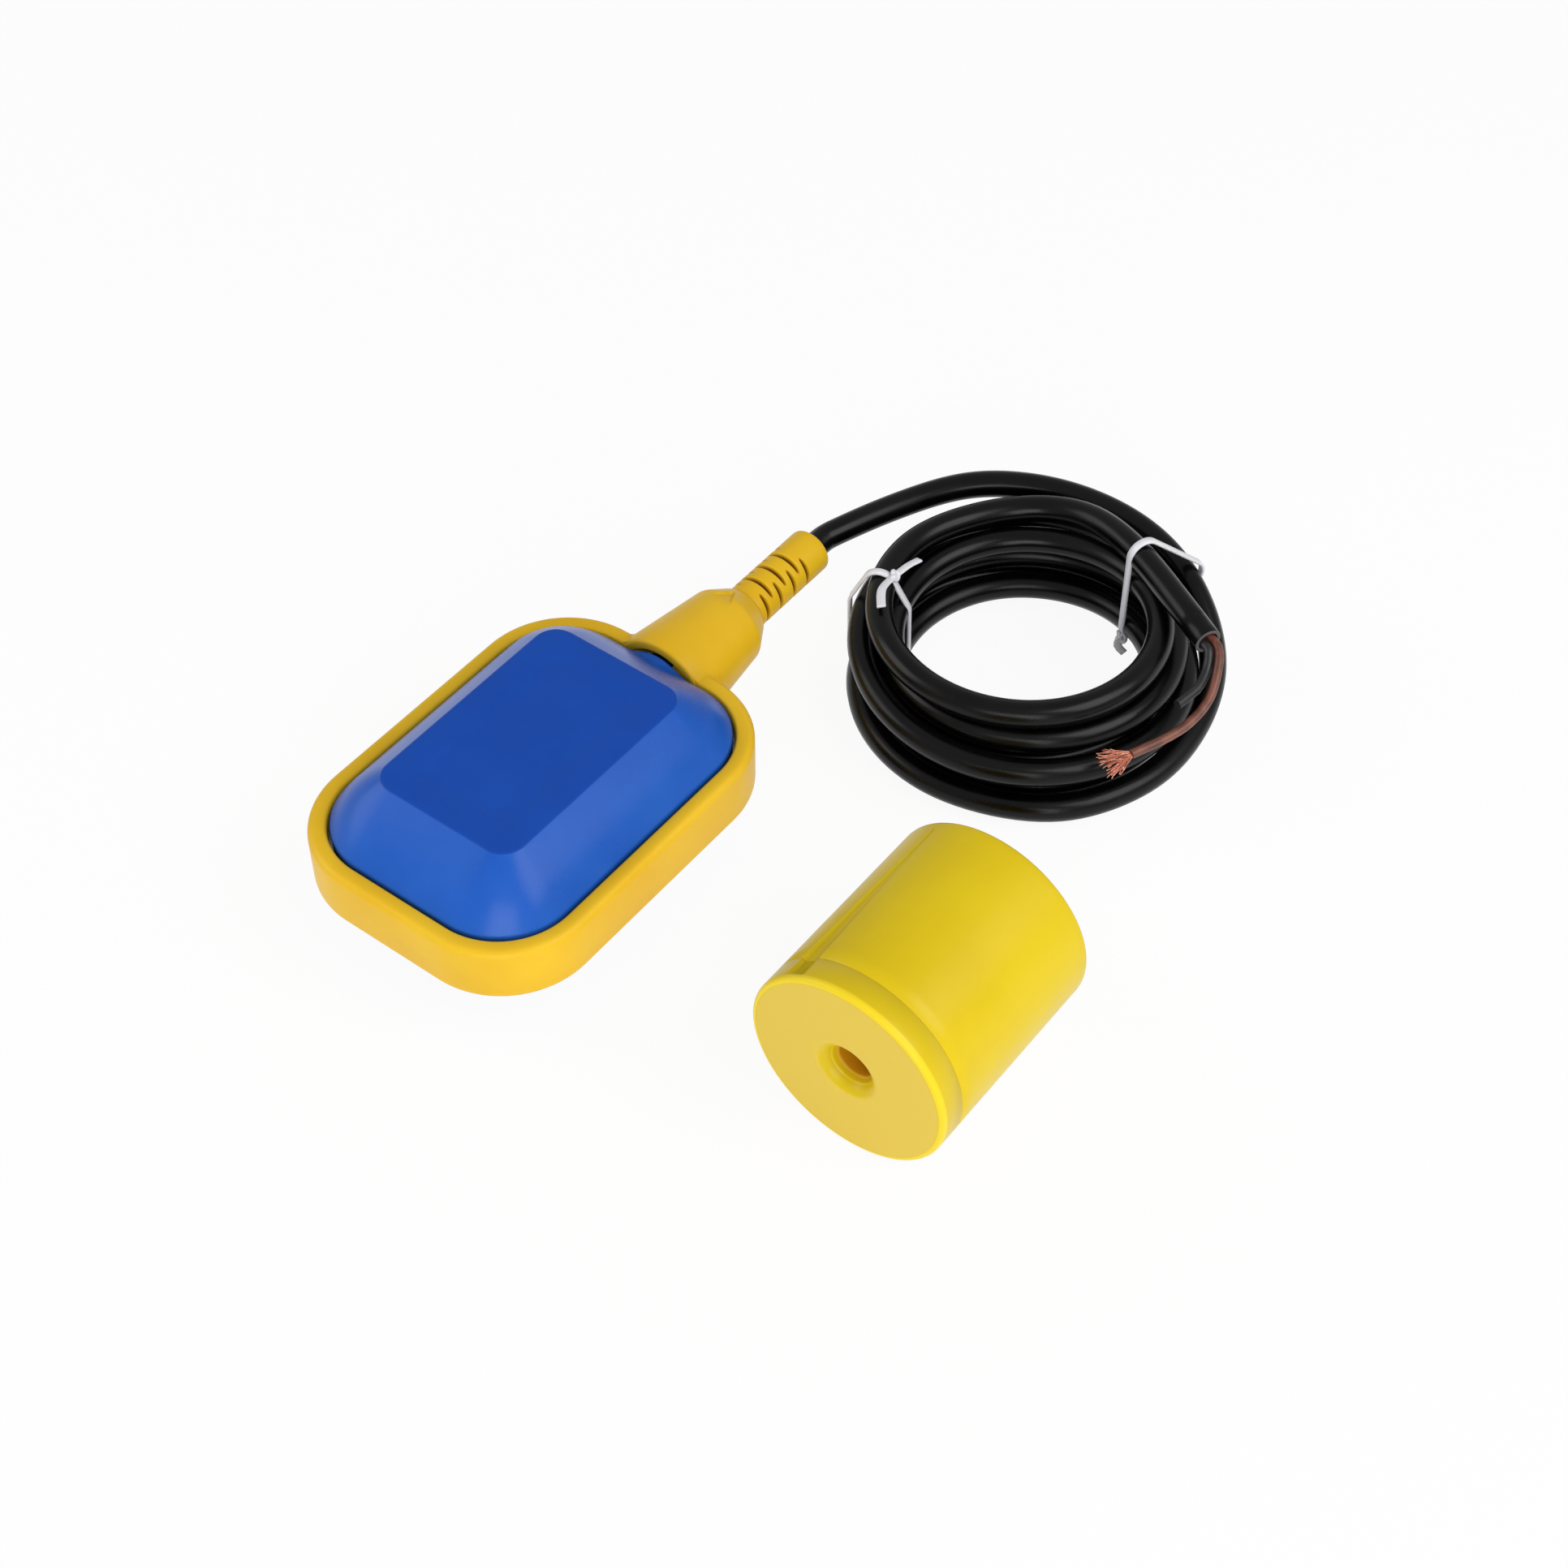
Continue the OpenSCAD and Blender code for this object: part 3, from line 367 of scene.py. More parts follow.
sleeve = skin("sheath_end", turned(sheath_end, sheath_way, [
    (-sheath_hollow, cable_r), (-0.2, cable_r), (-0.05, cable_r - 0.05), (0, cable_r - 0.15),
    (0, 2.8), (-0.05, 2.7), (-sheath_hollow, 2.65),
]))
cut_rubber = Finish("cut_sheath")
past = cut_rubber.node(
    "ShaderNodeVectorMath", {"operation": "DOT_PRODUCT"},
    {0: cut_rubber.place(), 1: tuple(sheath_way)}, out="Value",
) - sheath_end.dot(sheath_way) * mm
cut_face = past.between(-0.00016, -0.00006)
sleeve.data.materials.append(cut_rubber.done(
    Base_Color=cut_rubber.mix(cut_face, paint(6, 6, 7), paint(92, 86, 88)),
    Roughness=0.26 + 0.4 * cut_face,
    Specular_IOR_Level=0.22,
    Normal=cut_rubber.bump(cut_rubber.noise(2400, 2, 0.6), 0.2, 0.00006),
))
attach(sleeve, "float")

# The two bared cores: soft plastic over copper, brown for the switched wire and
# black for the other, bent out of the sheath.
core_r, core_off = 1.25, 1.35
core_side = sheath_way.cross(Vector((0, 0, 1))).normalized()
brown_start = sheath_end - core_off * core_side
black_start = sheath_end + core_off * core_side
brown_end = Vector((100.5, -111, 24))
brown_route = [(133.5, -115.5, 32.5), (126, -118, 28), (117, -117.5, 25.5), (108, -114.5, 24.5)]
black_end = Vector((117.5, -113.4, 29.4))
black_route = [(131, -113.6, 31.4), (124.5, -114.6, 29.8)]


def core_piece(name, start, route, end, dark, light):
    path = smooth_path([start, start + 2.5 * sheath_way, *route, end], 1.2)
    piece = cord_piece(name, [start - 2 * sheath_way] + path, core_r, 4)
    plastic = Finish(name)
    stain = plastic.noise(260, 3)
    piece.data.materials.append(plastic.done(
        Base_Color=plastic.mix(stain.between(0.35, 0.7), dark, light),
        Roughness=0.36 + 0.12 * stain,
        Normal=plastic.bump(plastic.noise(2500, 2), 0.1, 0.00004),
    ))
    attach(piece, "float")
    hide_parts(name)
    return piece


brown_core = core_piece(
    "brown_conductor", brown_start, brown_route, brown_end, paint(92, 50, 36), paint(128, 76, 58)
)
black_core = core_piece(
    "black_conductor", black_start, black_route, black_end, paint(18, 18, 19), paint(34, 34, 36)
)

# The copper strands: fine bare wires, part of the brown core, splayed like a
# brush where its plastic is cut off.
strand_count, strand_points, strand_r = 60, 7, 0.13
golden_turn = 2.39996
strand_corners = (0, 1.257, 2.513, 3.770, 5.027)
strand_way = (brown_end - Vector(brown_route[-1])).normalized()
strand_side = strand_way.cross(Vector((0, 0, 1))).normalized()
strand_up = strand_side.cross(strand_way)
strand_mesh = bmesh.new()
for i in range(strand_count):
    turn = i * golden_turn
    out = math.sqrt((i + 0.5) / strand_count)
    length = 6.8 + 1.9 * math.sin(i * 1.7)
    lobe = 1.5 if math.cos(turn) > 0 else -1.1
    line = []
    for k in range(strand_points):
        t = k / (strand_points - 1)
        spread = out * (0.8 + 2.3 * t ** 1.5)
        curl = 0.45 * t * math.sin(5 * t + i * 1.3)
        line.append(
            brown_end + (length * t - 0.4) * strand_way
            + (spread * math.cos(turn) + lobe * t ** 1.4 + curl) * strand_side
            + (spread * math.sin(turn) * 0.8 + 0.4 * t * math.cos(3 * t + i)) * strand_up
        )
    corners = []
    for k, point in enumerate(line):
        way = (line[min(k + 1, strand_points - 1)] - line[max(k - 1, 0)]).normalized()
        side = way.cross(Vector((0, 0, 1))).normalized()
        up = side.cross(way)
        corners.append([
            strand_mesh.verts.new((point + strand_r * (math.cos(a) * side + math.sin(a) * up)) * mm)
            for a in strand_corners
        ])
    for a, b in zip(corners, corners[1:]):
        for k, (c, d) in enumerate(zip(a, b)):
            after = (k + 1) % len(a)
            strand_mesh.faces.new((c, a[after], b[after], d))
    strand_mesh.faces.new(corners[-1])
    strand_mesh.faces.new(reversed(corners[0]))
strand_data = bpy.data.meshes.new("copper_brush")
strand_mesh.to_mesh(strand_data)
strand_mesh.free()
strand_data.shade_smooth()
strands = bpy.data.objects.new("copper_brush", strand_data)
bpy.context.collection.objects.link(strands)
copper = Finish("bare_copper")
strand_data.materials.append(copper.done(
    Base_Color=copper.mix(
        copper.noise(900, 2).between(0.35, 0.65), paint(204, 120, 92), paint(240, 172, 146)
    ),
    Metallic=0.7,
    Roughness=0.4,
))
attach(strands, "float")
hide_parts("copper_strands")

# The ties: narrow white plastic strap, pulled round all the turns and knotted
# by hand, with flat cut ends.
tie_t, tie_w, tie_play = 0.9, 2.2, 0.1
end_t, end_w = 0.7, 2.4
strap_step, end_step = 1.2, 0.8
knot_off, knot_size, knot_r = 1.8, 0.55, 0.62
knot_points, knot_sides = 48, 8
tie_white = Finish("tie_plastic")
cloud = tie_white.noise(300, 3)
tie_finish = tie_white.done(
    Base_Color=tie_white.mix(cloud, paint(222, 222, 228), paint(245, 245, 248)),
    Roughness=0.42,
    Subsurface_Weight=0.15,
    Subsurface_Radius=(0.001, 0.001, 0.001),
    Normal=tie_white.bump(tie_white.noise(1, 2, vector=tie_white.stretched((3000, 3000, 600))), 0.15, 0.0001),
)


def strap(points, flats, width, thickness, closed):
    """Rings of a flat strap along points; flats are the strap's broad side's normals."""
    rings = []
    last = len(points) - 1
    for i, (point, flat) in enumerate(zip(points, flats)):
        before = points[i - 1] if closed or i else point
        after = points[(i + 1) % (last + 1)] if closed or i < last else point
        way = (after - before).normalized()
        flat = (flat - flat.dot(way) * way).normalized()
        across = way.cross(flat)
        w, t = width / 2, thickness / 2
        rings.append([
            point + x * across + y * flat
            for x, y in (
                (-w, -t * 0.4), (-w * 0.8, -t), (w * 0.8, -t), (w, -t * 0.4),
                (w, t * 0.4), (w * 0.8, t), (-w * 0.8, t), (-w, t * 0.4),
            )
        ])
    return rings + rings[:1] if closed else rings


def band_round(angle, extra):
    """The strap's middle line round every turn that crosses one upright plane of the coil."""
    a = math.radians(angle)
    first = ((coil_start - angle) / 360) % 1
    spots = []
    for k in range(math.ceil(coil_turns)):
        if first + k <= coil_turns:
            p = coil_point(first + k)
            spots.append(((p.x - coil_middle[0]) * math.cos(a) + (p.y - coil_middle[1]) * math.sin(a), p.z))
    spots += extra
    reach = cable_r + tie_play + tie_t / 2
    cloud = sorted(
        (r + reach * math.cos(math.radians(5 * k)), z + reach * math.sin(math.radians(5 * k)))
        for r, z in spots for k in range(72)
    )
    outline = []
    for way in (cloud, cloud[::-1]):
        half = []
        for p in way:
            while len(half) > 1:
                (ar, az), (br, bz) = half[-2:]
                if (br - ar) * (p[1] - az) - (bz - az) * (p[0] - ar) > 0:
                    break
                half.pop()
            half.append(p)
        outline += half[:-1]
    dense = []
    for (r0, z0), (r1, z1) in zip(outline, outline[1:] + outline[:1]):
        cuts = max(1, round(math.hypot(r1 - r0, z1 - z0) / strap_step))
        dense += [(r0 + (r1 - r0) * k / cuts, z0 + (z1 - z0) * k / cuts) for k in range(cuts)]
    ring = Vector((math.cos(a), math.sin(a), 0))
    points, flats = [], []
    for i, (r, z) in enumerate(dense):
        (ra, za), (rb, zb) = dense[i - 1], dense[(i + 1) % len(dense)]
        points.append(Vector((coil_middle[0], coil_middle[1], 0)) + r * ring + Vector((0, 0, z)))
        flats.append(((zb - za) * ring - Vector((0, 0, rb - ra))).normalized())
    return points, flats, spots, ring


def joined(name, parts):
    """One object from several."""
    whole = bmesh.new()
    for part in parts:
        whole.from_mesh(part.data)
        bpy.data.objects.remove(part)
    mesh = bpy.data.meshes.new(name)
    whole.to_mesh(mesh)
    whole.free()
    mesh.shade_smooth()
    piece = bpy.data.objects.new(name, mesh)
    bpy.context.collection.objects.link(piece)
    return piece


def tie_piece(name, angle, extra, turn, side, ends):
    """A strap knotted beside one turn; an end is its offsets from the knot and its broad side's normal."""
    points, flats, spots, ring = band_round(angle, extra)
    parts = [skin("loop", strap(points, flats, tie_w, tie_t, True))]
    reach = cable_r + tie_play + knot_off
    r = spots[turn][0] + reach * math.cos(math.radians(side))
    z = spots[turn][1] + reach * math.sin(math.radians(side))
    knot = Vector((coil_middle[0], coil_middle[1], 0)) + r * ring + Vector((0, 0, z))
    across = ring.cross(Vector((0, 0, 1)))
    loop = [
        knot + knot_size * (
            (math.sin(t) + 2 * math.sin(2 * t)) * across
            + (math.cos(t) - 2 * math.cos(2 * t)) * 0.6 * ring
            - 1.3 * math.sin(3 * t) * Vector((0, 0, 1))
        )
        for t in (2 * math.pi * k / knot_points for k in range(knot_points))
    ]
    knot_rings = []
    for k, point in enumerate(loop):
        way = (loop[(k + 1) % knot_points] - loop[k - 1]).normalized()
        u = way.orthogonal().normalized() if k == 0 else (u - u.dot(way) * way).normalized()
        v = way.cross(u)
        knot_rings.append([
            point + knot_r * (math.cos(a) * u + math.sin(a) * v)
            for a in (2 * math.pi * j / knot_sides for j in range(knot_sides))
        ])
    parts.append(skin("knot", knot_rings + knot_rings[:1]))
    for offsets, flat in ends:
        spots = [knot, knot] + [knot + Vector(o) for o in offsets + offsets[-1:]]
        path = smooth_path(spots, end_step)
        path = [p for i, p in enumerate(path) if i == 0 or (p - path[i - 1]).length > 0.05]
        rings = strap(path, [Vector(flat)] * len(path), end_w, end_t, False)
        parts.append(skin("end", rings, caps=(True, True)))
    piece = joined(name, parts)
    piece.data.materials.append(tie_finish)
    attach(piece, "float")
    return piece


left_tie = tie_piece("left_strap", 110, [], -1, 135, [
    ([(4.5, -1, 0.8), (8.5, -2, 0.6)], (0, 0.3, 1)),
    ([(-7, -1, 1.2), (-13, -5, 1.6)], (0, 0.3, 1)),
])
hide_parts("left_tie")
right_tie = tie_piece(
    "right_strap", -26.05, [(50.5, 21.9), (34.85, 35.9)], 1, 225,
    [([(-0.8, 0.2, -2.8), (-0.5, -1.8, -4.6)], (1, 0.4, 0))],
)
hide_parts("right_tie")

# The float's body: two blue moulded pans, welded at their rims.  Each has a flat
# panel, four sloping sides, and half of the boss that carries the neck.
shell_l, shell_w, shell_r = 98, 70, 20
panel_l, panel_w, panel_r = 68, 44, 6
mid_z, panel_z = 22, 22
rim_inset, rim_h, slope_h, slope_rows = 0.65, 8.25, 13.45, 36
pan_wall, pan_swell, pan_blend, boss_r = 2.4, 1.2, 2, 11.4


def rounded(l, w, r, straight=12, bend=14):
    """Points of a rectangle with round corners, the same number for every size."""
    points = []
    for quarter in range(4):
        cx = (l / 2 - r) * (1 if quarter in (0, 3) else -1)
        cy = (w / 2 - r) * (1 if quarter in (0, 1) else -1)
        for k in range(bend + 1):
            a = math.pi / 2 * (quarter + k / bend)
            points.append((cx + r * math.cos(a), cy + r * math.sin(a)))
        nx = (l / 2 - r) * (1 if quarter in (2, 3) else -1)
        ny = (w / 2 - r) * (1 if quarter in (3, 0) else -1)
        a = math.pi / 2 * (quarter + 1)
        start = points[-1]
        finish = (nx + r * math.cos(a), ny + r * math.sin(a))
        for k in range(1, straight):
            t = k / straight
            points.append((start[0] + (finish[0] - start[0]) * t, start[1] + (finish[1] - start[1]) * t))
    return points


def boss_height(x, y, reach):
    """Height of the half round boss over the middle plane, faded out towards the panel."""
    if abs(y) >= reach or x < 30:
        return -30
    return math.sqrt(reach * reach - y * y) - max(0, 42 - x) ** 2 * 0.06


def soft_max(a, b, blend):
    """The larger of two heights, with a round hollow where they meet."""
    h = max(blend - abs(a - b), 0) / blend
    return max(a, b) + h * h * blend * 0.25


def pan_rings(wall=0):
    """Rings of one pan above the middle plane, from its rim to its panel, taken in by a wall."""
    inset = rim_inset + wall
    rim_l, rim_w, rim_r = shell_l - 2 * inset, shell_w - 2 * inset, shell_r - inset
    rings = [[(x, y, z) for x, y in rounded(rim_l, rim_w, rim_r)] for z in (0, 5, 8)]
    for k in range(slope_rows + 1):
        t = k / slope_rows
        swell = pan_swell * math.sin(math.pi * t)
        l = min(rim_l, rim_l + (panel_l - 1.2 * wall - rim_l) * t + 2 * swell)
        w = min(rim_w, rim_w + (panel_w - 1.2 * wall - rim_w) * t + 2 * swell)
        r = rim_r + (panel_r + 0.5 - rim_r) * t + swell * 0.8
        z = rim_h + (slope_h - wall) * t
        rings.append([
            (x, y, soft_max(z, boss_height(x, y, boss_r - wall), pan_blend)) for x, y in rounded(l, w, r)
        ])
    if wall:
        return rings
    panel_edge = ((0.25, 21.86), (0.6, 21.97), (1.1, panel_z), (4, panel_z))
    frame_step = ((8.2, panel_z), (8.35, 21.97), (8.6, 21.9), (8.9, 21.88), (12, 21.88), (20, 21.88))
    for inset, z in panel_edge + frame_step:
        corner = max(0.6, panel_r - inset * 0.3)
        rings.append([(x, y, z) for x, y in rounded(panel_l - 2 * inset, panel_w - 2 * inset, corner)])
    return rings


blue = Finish("blue_plastic")
# The flat panel gets a darker blue than the sloping sides, which is painted shade on the top; the panel is
# also made rougher.
rise = blue.along("Z") - mid_z * mm
flat = rise.maths("ABSOLUTE", rise).between(0.02172, 0.02184)
cloud = blue.noise(38, 4, 0.55).between(0.3, 0.7)
shell_finish = blue.done(
    Base_Color=blue.mix(
        flat,
        blue.mix(cloud, paint(27, 86, 184), paint(33, 94, 192)),
        blue.mix(cloud, paint(12, 70, 168), paint(16, 76, 176)),
    ),
    Roughness=0.26 + 0.16 * flat + 0.05 * cloud,
    Specular_IOR_Level=0.2,
    Normal=blue.bump(blue.noise(2200, 3, 0.6), 0.06, 0.00004),
)
for name, sign in (("upper_shell", 1), ("lower_shell", -1)):
    inner_and_outer = pan_rings(pan_wall)[::-1] + pan_rings()
    rings = [[(x, y, mid_z + sign * z) for x, y, z in ring] for ring in inner_and_outer]
    pan = skin(name + "_skin", rings, caps=(True, True))
    pan.data.materials.append(shell_finish)
    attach(pan, "float")
    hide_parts(name)

# The yellow band: one moulding that is shot round the weld of the two pans, with
# the tapered neck that holds the seal and the boot.
band_h, band_t, edge_r = 16.5, 5, 2
yellow = Finish("yellow_plastic")
cloud = yellow.noise(30, 4, 0.5)
fine = yellow.noise(1800, 3, 0.6)
band_finish = yellow.done(
    Base_Color=yellow.mix(cloud.between(0.3, 0.7), paint(231, 182, 30), paint(238, 193, 40)),
    Roughness=0.33 + 0.1 * cloud,
    Specular_IOR_Level=0.2,
    Subsurface_Weight=0.08,
    Subsurface_Radius=(0.003, 0.0015, 0.0005),
    Normal=yellow.bump(fine, 0.05, 0.00004),
)
section = [(0.6, 0.3), (1, 0)]
for z, first in ((edge_r, -90), (band_h - edge_r, 0)):
    for k in range(9):
        a = math.radians(first + 90 * k / 8)
        section.append((band_t - edge_r + edge_r * math.cos(a), z + edge_r * math.sin(a)))
section += [
    (1, band_h), (0.6, band_h - 0.15), (0.3, band_h - 0.5), (0.15, band_h - 3), (0.15, 3), (0.3, 0.5),
]
hoop_rings = []
for out, z in section:
    outline = rounded(shell_l + 2 * out, shell_w + 2 * out, shell_r + out, 16, 24)
    hoop_rings.append([(x, y, mid_z - band_h / 2 + z) for x, y in outline])
hoop = skin("hoop", hoop_rings + hoop_rings[:1])
neck_r, tip_r, shoulder_r = 14.25, 11.4, 7.2
neck_x0, neck_x1, shoulder_x = 54, 84, 77
arrow_x0, arrow_x1, arrow_half_w, arrow_depth = 75.4, 80.6, 2.9, 0.8


def neck_radius(x):
    """Radius of the taper between the band and the shoulder."""
    return neck_r - (neck_r - tip_r) * max(0, x - neck_x0) / (shoulder_x - neck_x0)


neck_profile = [(49.1, 11.6), (49.0, 11.9), (49.0, 13.3), (49.15, 13.8), (49.5, 14.1), (50.2, 14.24)]
neck_profile += [(x, neck_radius(x)) for x in (54, 57, 60, 64, 68, 71, 73, 74.5, 75.5)]
slope = (shoulder_r - tip_r) / (neck_x1 - shoulder_x)
before, corner, after = (76.3, neck_radius(76.3)), (shoulder_x, tip_r), (77.7, tip_r + 0.7 * slope)
for k in range(7):
    t = k / 6
    neck_profile.append(tuple(
        (1 - t) ** 2 * a + 2 * t * (1 - t) * b + t * t * c for a, b, c in zip(before, corner, after)
    ))
neck_profile += [(77.9 + k * 0.42, tip_r + (0.9 + k * 0.42) * slope) for k in range(1, 13)]
neck_profile += [(83.5, 7.35), (83.85, 7.0), (84, 6.6), (84, 5.8)]
neck_rings = turned(Vector((0, 0, mid_z)), Vector((1, 0, 0)), neck_profile, 160)
for ring in neck_rings:
    for point in ring:
        if point.z > mid_z:
            from_back = point.x - arrow_x0
            from_side = (arrow_half_w - abs(point.y)) * 1.4 - from_back * 0.72
            into = min(arrow_x1 - point.x, from_back * 1.2, from_side)
            point.z -= arrow_depth * max(0, min(1, into / 0.3))
neck = skin("neck", neck_rings)


def neck_fillet(side, hollow_r=2.2):
    """The hollow curve where the neck grows out of one side of the band."""
    half = band_h / 2 - edge_r
    spots = [(49.6 + k * 0.8, half, 90) for k in range(4)]
    spots += [(neck_x0 - edge_r, half, 90 - 9 * k) for k in range(1, 11)]
    spots += [(neck_x0 - edge_r, half - half * k / 6, 0) for k in range(1, 7)]
    spots += [(x, -z, -a) for x, z, a in reversed(spots[:-1])]
    rows = []
    for x, z, a in spots:
        out = Vector((math.cos(math.radians(a)), 0, math.sin(math.radians(a))))
        middle = Vector((x, 0, z)) + (edge_r + hollow_r) * out
        reach = neck_radius(middle.x) + hollow_r
        middle.y = side * math.sqrt(reach * reach - middle.z * middle.z)
        inward = -Vector((0, middle.y, middle.z)).normalized()
        rows.append([
            middle + Vector((0, 0, mid_z)) + hollow_r * inward.slerp(-out, k / 8) * 1.01 for k in range(9)
        ])
    return skin("fillet", rows, closed=False)


band = joined("band_and_neck", [hoop, neck, neck_fillet(1), neck_fillet(-1)])
band.data.materials.append(band_finish)
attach(band, "float")
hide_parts("float_band")

# The boot: soft yellow plastic, plugged into the neck.  Rings of slots, by turns
# at its sides and at its top and bottom, let it bend with the cable.
boot_r, slot_floor = 6.375, 4.65
slot_count, first_slot, slot_pitch, slot_half_arc = 7, 87.3, 2.9, 61
slot_edge = ((1.7, 0), (1.2, 0), (1.02, 0.05), (0.9, 0.35), (0.8, 1), (0.4, 1))
boot_sides = 96
boot_turns = [360 * k / boot_sides for k in range(boot_sides)]


def boot_point(x, radius, turn):
    angle = math.radians(turn)
    return x, radius * math.sin(angle), mid_z + radius * math.cos(angle)


def boot_ring(x, radius):
    return [boot_point(x, radius, turn) for turn in boot_turns]


def slot_ring(number, place, share):
    """A ring along a slot, which is widest in the middle and comes to a point at its ends."""
    ring = []
    for turn in boot_turns:
        from_middle = (turn - (0 if number % 2 else 90) + 90) % 180 - 90
        off = abs(from_middle) / slot_half_arc
        width = 0.2 + 0.6 * math.sqrt(max(0, 1 - off * off))
        radius = boot_r - (boot_r - slot_floor) * share * max(0, min(1, (1 - off) * 7))
        ring.append(boot_point(first_slot + number * slot_pitch + place * width, radius, turn))
    return ring


boot_rings = [boot_ring(82.5, 5.5), boot_ring(82.6, boot_r), boot_ring(85.4, boot_r)]
for number in range(slot_count):
    steps = [(-place, share) for place, share in slot_edge] + [(0, 1)] + list(reversed(slot_edge))
    boot_rings += [slot_ring(number, place, share) for place, share in steps]
boot_rings += [boot_ring(x, r) for x, r in (
    (108, boot_r), (110.8, boot_r), (113.2, boot_r), (113.65, 6.28), (113.9, 6.02), (114, 5.7),
    (114, 4.2), (113.9, 3.85), (113.6, 3.74), (108, 3.72),
)]
boot = skin("boot", boot_rings)
boot_yellow = Finish("boot_plastic")
off_y = boot_yellow.along("Y")
off_z = boot_yellow.along("Z") - mid_z * mm
# Inside the slots, but not in the bore of the collar at the end, the yellow turns dark brown: painted shade
# in the deep narrow slots.
depth = 1 - ((off_y * off_y + off_z * off_z) ** 0.5).between(0.0048, 0.0062)
slot_shade = depth * (1 - boot_yellow.along("X").between(0.1065, 0.1070))
cloud = boot_yellow.noise(30, 4, 0.5)
boot.data.materials.append(boot_yellow.done(
    Base_Color=boot_yellow.mix(
        slot_shade,
        boot_yellow.mix(cloud.between(0.3, 0.7), paint(229, 179, 26), paint(236, 190, 34)),
        paint(112, 64, 12),
    ),
    Roughness=0.34 + 0.1 * cloud,
    Specular_IOR_Level=0.2,
    Normal=boot_yellow.bump(boot_yellow.noise(1800, 3, 0.6), 0.05, 0.00004),
))
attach(boot, "float")
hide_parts("strain_relief_boot")

# The works inside the float: a tray screwed to bosses of the lower pan, with the
# steel ball's race and the microswitch on it, the seal, and the filling of the
# counterweight.  Their solids stay, and only get their finishes.


def plain(name, dark, light, rough, metal=0.0, scale=200):
    """A finish with a little cloud in its colour and a fine grain."""
    made = Finish(name)
    cloud = made.noise(scale, 3)
    return made.done(
        Base_Color=made.mix(cloud.between(0.3, 0.7), dark, light),
        Roughness=rough + 0.1 * cloud,
        Metallic=metal,
        Normal=made.bump(made.noise(scale * 10, 2), 0.08, 0.00004),
    )


inside = {
    plain("tray_plastic", paint(206, 206, 196), paint(222, 222, 214), 0.45): (
        "switch_carrier", "cable_clamp", "race_cover",
    ),
    plain("zinced_steel", paint(168, 170, 170), paint(196, 197, 196), 0.3, 1.0, 500): (
        "grommet_washer", "clamp_screws", "carrier_screws", "switch_screws", "lever_pin", "switch_lever",
    ),
    plain("ball_steel", paint(186, 188, 192), paint(205, 207, 210), 0.12, 1.0, 300): ("steel_ball",),
    plain("switch_plastic", paint(22, 22, 25), paint(34, 34, 38), 0.4): (
        "microswitch_case", "microswitch_cover",
    ),
    plain("plunger_plastic", paint(168, 30, 26), paint(190, 42, 36), 0.35): ("switch_plunger",),
    plain("contact_brass", paint(196, 158, 84), paint(214, 178, 106), 0.3, 1.0, 400): (
        "snap_blade", "switch_terminals",
    ),
    plain("seal_rubber", paint(22, 22, 23), paint(36, 36, 37), 0.6): ("seal_grommet",),
    plain("inner_sheath", paint(21, 21, 23), paint(33, 32, 33), 0.36): ("neck_cable", "lead_black"),
    plain("brown_lead", paint(92, 50, 36), paint(128, 76, 58), 0.4): ("lead_brown",),
    plain("ballast_fill", paint(96, 80, 70), paint(124, 106, 92), 0.85, 0.0, 600): ("ballast_core",),
}
for finish, names in inside.items():
    for name in names:
        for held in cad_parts[name].material_slots:
            held.material = finish

# The counterweight: a lemon yellow cup and its end cap, filled with ballast,
# with a tapered groove along one side and a funnel for the cable.
weight_x0, weight_y, weight_r, weight_len, cap_len = -24.5, -113.5, 27, 59, 7.5
weight_edge_r, weight_bore_r = 1.2, 4.75
seam_r, seam_gap, seam_depth = 0.09, 0.02, 2.2
groove_turn, groove_x0, groove_x1 = math.radians(36), 3, 56
groove_w0, groove_w1, groove_d0, groove_d1 = 5.5, 0.8, 1.2, 0.3
groove_marks = (-1.5, -1.2, -1.05, -0.95, -0.8, 0, 0.8, 0.95, 1.05, 1.2, 1.5)
lemon = Finish("lemon_plastic")
cloud = lemon.noise(26, 4, 0.5)
fine = lemon.noise(1600, 3, 0.6)
from_cap = lemon.along("X") - weight_x0 * mm
off_y = lemon.along("Y") - weight_y * mm
off_z = lemon.along("Z") - weight_r * mm
off_axis = (off_y * off_y + off_z * off_z) ** 0.5
# A thin band round the outer edge by the cap's face is painted a lighter yellow: a painted highlight.
rim_highlight = (1 - from_cap.between(0.0012, 0.0018)) * off_axis.between(0.0255, 0.0259)
# The cap's flat end face gets a paler, greyer yellow, which is a painted sheen; it is also made rougher.
face = (1 - from_cap.between(0.0001, 0.0004)) * (1 - off_axis.between(0.0252, 0.0256))
# Deeper in the hole, past the funnel's mouth, the yellow is painted darker and browner: painted shade in the
# hollow.
bore_shade = (1 - off_axis.between(0.0050, 0.0058)) * from_cap.between(0.0020, 0.0048)
skin_tone = lemon.mix(cloud.between(0.3, 0.7), paint(216, 186, 17), paint(224, 196, 25))
skin_tone = lemon.mix(face, lemon.mix(rim_highlight, skin_tone, paint(240, 211, 36)), paint(224, 194, 72))
weight_finish = lemon.done(
    Base_Color=lemon.mix(bore_shade, skin_tone, paint(190, 130, 14)),
    Roughness=0.27 + 0.1 * cloud + 0.15 * face,
    Specular_IOR_Level=0.2,
    Subsurface_Weight=0.08,
    Subsurface_Radius=(0.003, 0.002, 0.0005),
    Normal=lemon.bump(fine, 0.05, 0.00004),
)


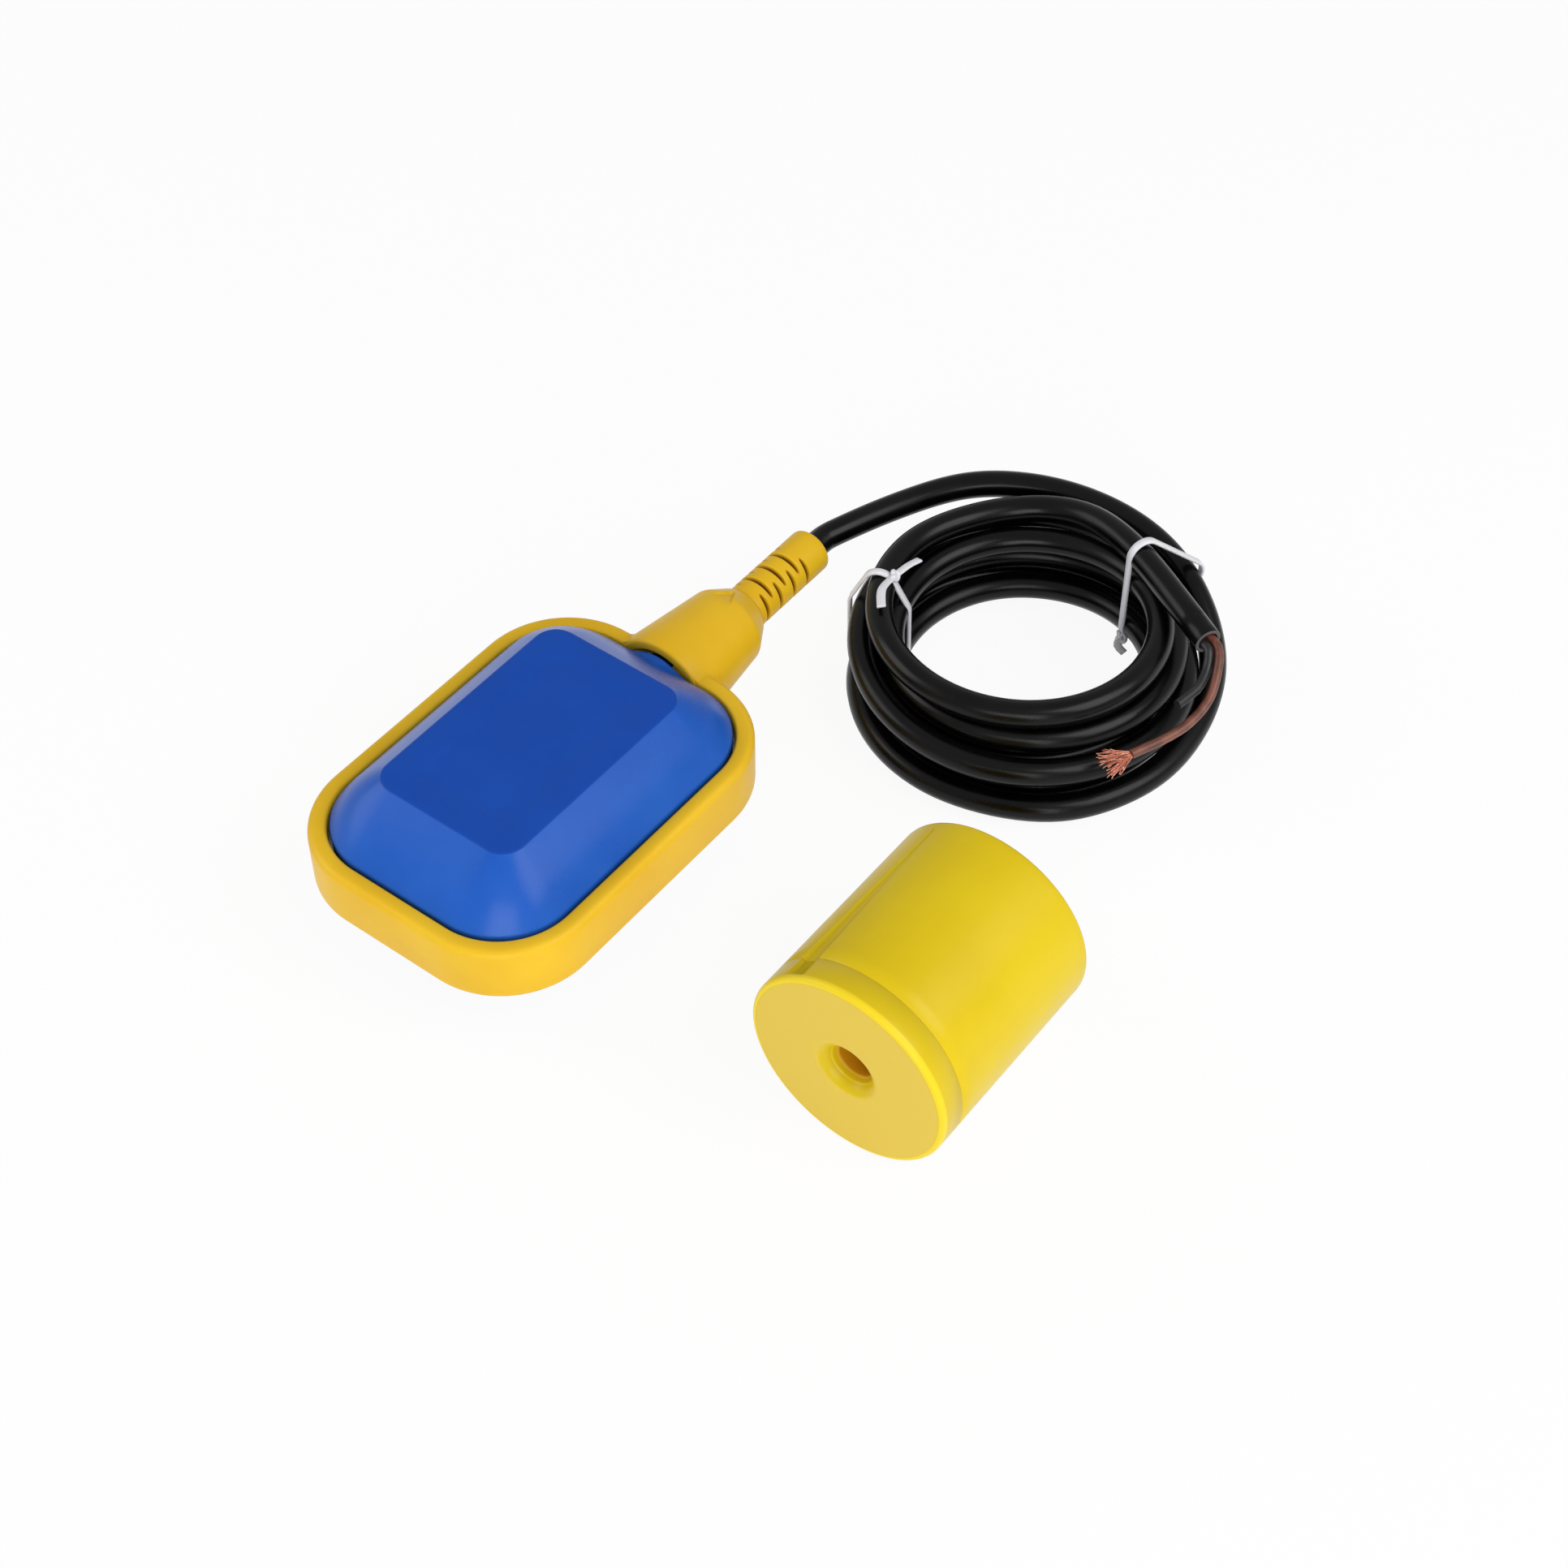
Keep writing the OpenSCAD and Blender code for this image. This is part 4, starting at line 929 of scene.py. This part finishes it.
def weight_ring(along, radius, cut=True):
    """One ring of the counterweight; its points follow the groove's edges."""
    share = max(0, min(1, (along - groove_x0) / (groove_x1 - groove_x0)))
    half = (groove_w0 + (groove_w1 - groove_w0) * share) / 2 / weight_r
    angles = [groove_turn + m * half for m in groove_marks]
    rest = 2 * math.pi - 3 * half
    angles += [groove_turn + 1.5 * half + rest * k / 110 for k in range(1, 110)]
    ring = []
    for i, a in enumerate(angles):
        deep = groove_d1 + (groove_d0 - groove_d1) * (1 - share) ** 2 if cut and 3 <= i <= 7 else 0
        r = min(radius, weight_r) - deep
        ring.append((weight_x0 + along, weight_y + r * math.sin(a), weight_r + r * math.cos(a)))
    return ring


def plain_rings(profile):
    """Rings without the groove, for a profile of (distance from the cap's face, radius)."""
    return [weight_ring(along, radius, False) for along, radius in profile]


def weight_edge(along, sign):
    """The profile of a round outer edge that ends at one of the two faces."""
    angles = [math.radians(90 * k / 6) for k in range(7)]
    start = along - sign * weight_edge_r
    radius = weight_r - weight_edge_r
    return [
        (start + sign * weight_edge_r * math.sin(a), radius + weight_edge_r * math.cos(a)) for a in angles
    ]


cup_x0, cap_x1 = cap_len + seam_gap, cap_len - seam_gap
cup = plain_rings([(cup_x0, weight_r - seam_depth)])
cup += [weight_ring(cup_x0, weight_r - seam_r), weight_ring(cap_len + seam_r, weight_r)]
cup += [weight_ring(cap_len + 0.2 + k * 4, weight_r) for k in range(1, 12)]
cup += [weight_ring(groove_x1 - 0.1, weight_r)]
cup += plain_rings([(groove_x1, weight_r)] + weight_edge(weight_len, 1))
cup += plain_rings([(weight_len, r) for r in (20, 12, 6, 5.1)])
cup += plain_rings([(58.8, 4.85), (58.3, weight_bore_r), (16.5, weight_bore_r)])
cup_piece = skin("weight_cup", cup)
cap = plain_rings([(cap_x1, weight_r - seam_depth)])
cap += [weight_ring(cap_x1, weight_r - seam_r), weight_ring(cap_len - seam_r, weight_r)]
cap += [weight_ring(1.8, weight_r)]
cap += plain_rings([(1.6, weight_r)] + weight_edge(0, -1))
cap += plain_rings([(0, r) for r in (24, 20, 14, 9.8, 9)])
cap += plain_rings([
    (0.06, 8.5), (0.25, 8), (0.6, 7.4), (1.1, 6.8), (1.7, 6.3), (2.2, 6.05), (2.45, 5.9), (2.6, 5.7),
    (2.8, 5.6), (3.8, 5.5), (4.0, 5.4), (4.05, 4.85), (4.2, weight_bore_r), (9.5, weight_bore_r),
])
cap_piece = skin("weight_end_cap", cap)
for piece, node in ((cup_piece, "weight_shell"), (cap_piece, "weight_cap")):
    piece.data.materials.append(weight_finish)
    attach(piece, "float")
    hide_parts(node)
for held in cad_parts["cable_grip"].material_slots:
    held.material = weight_finish
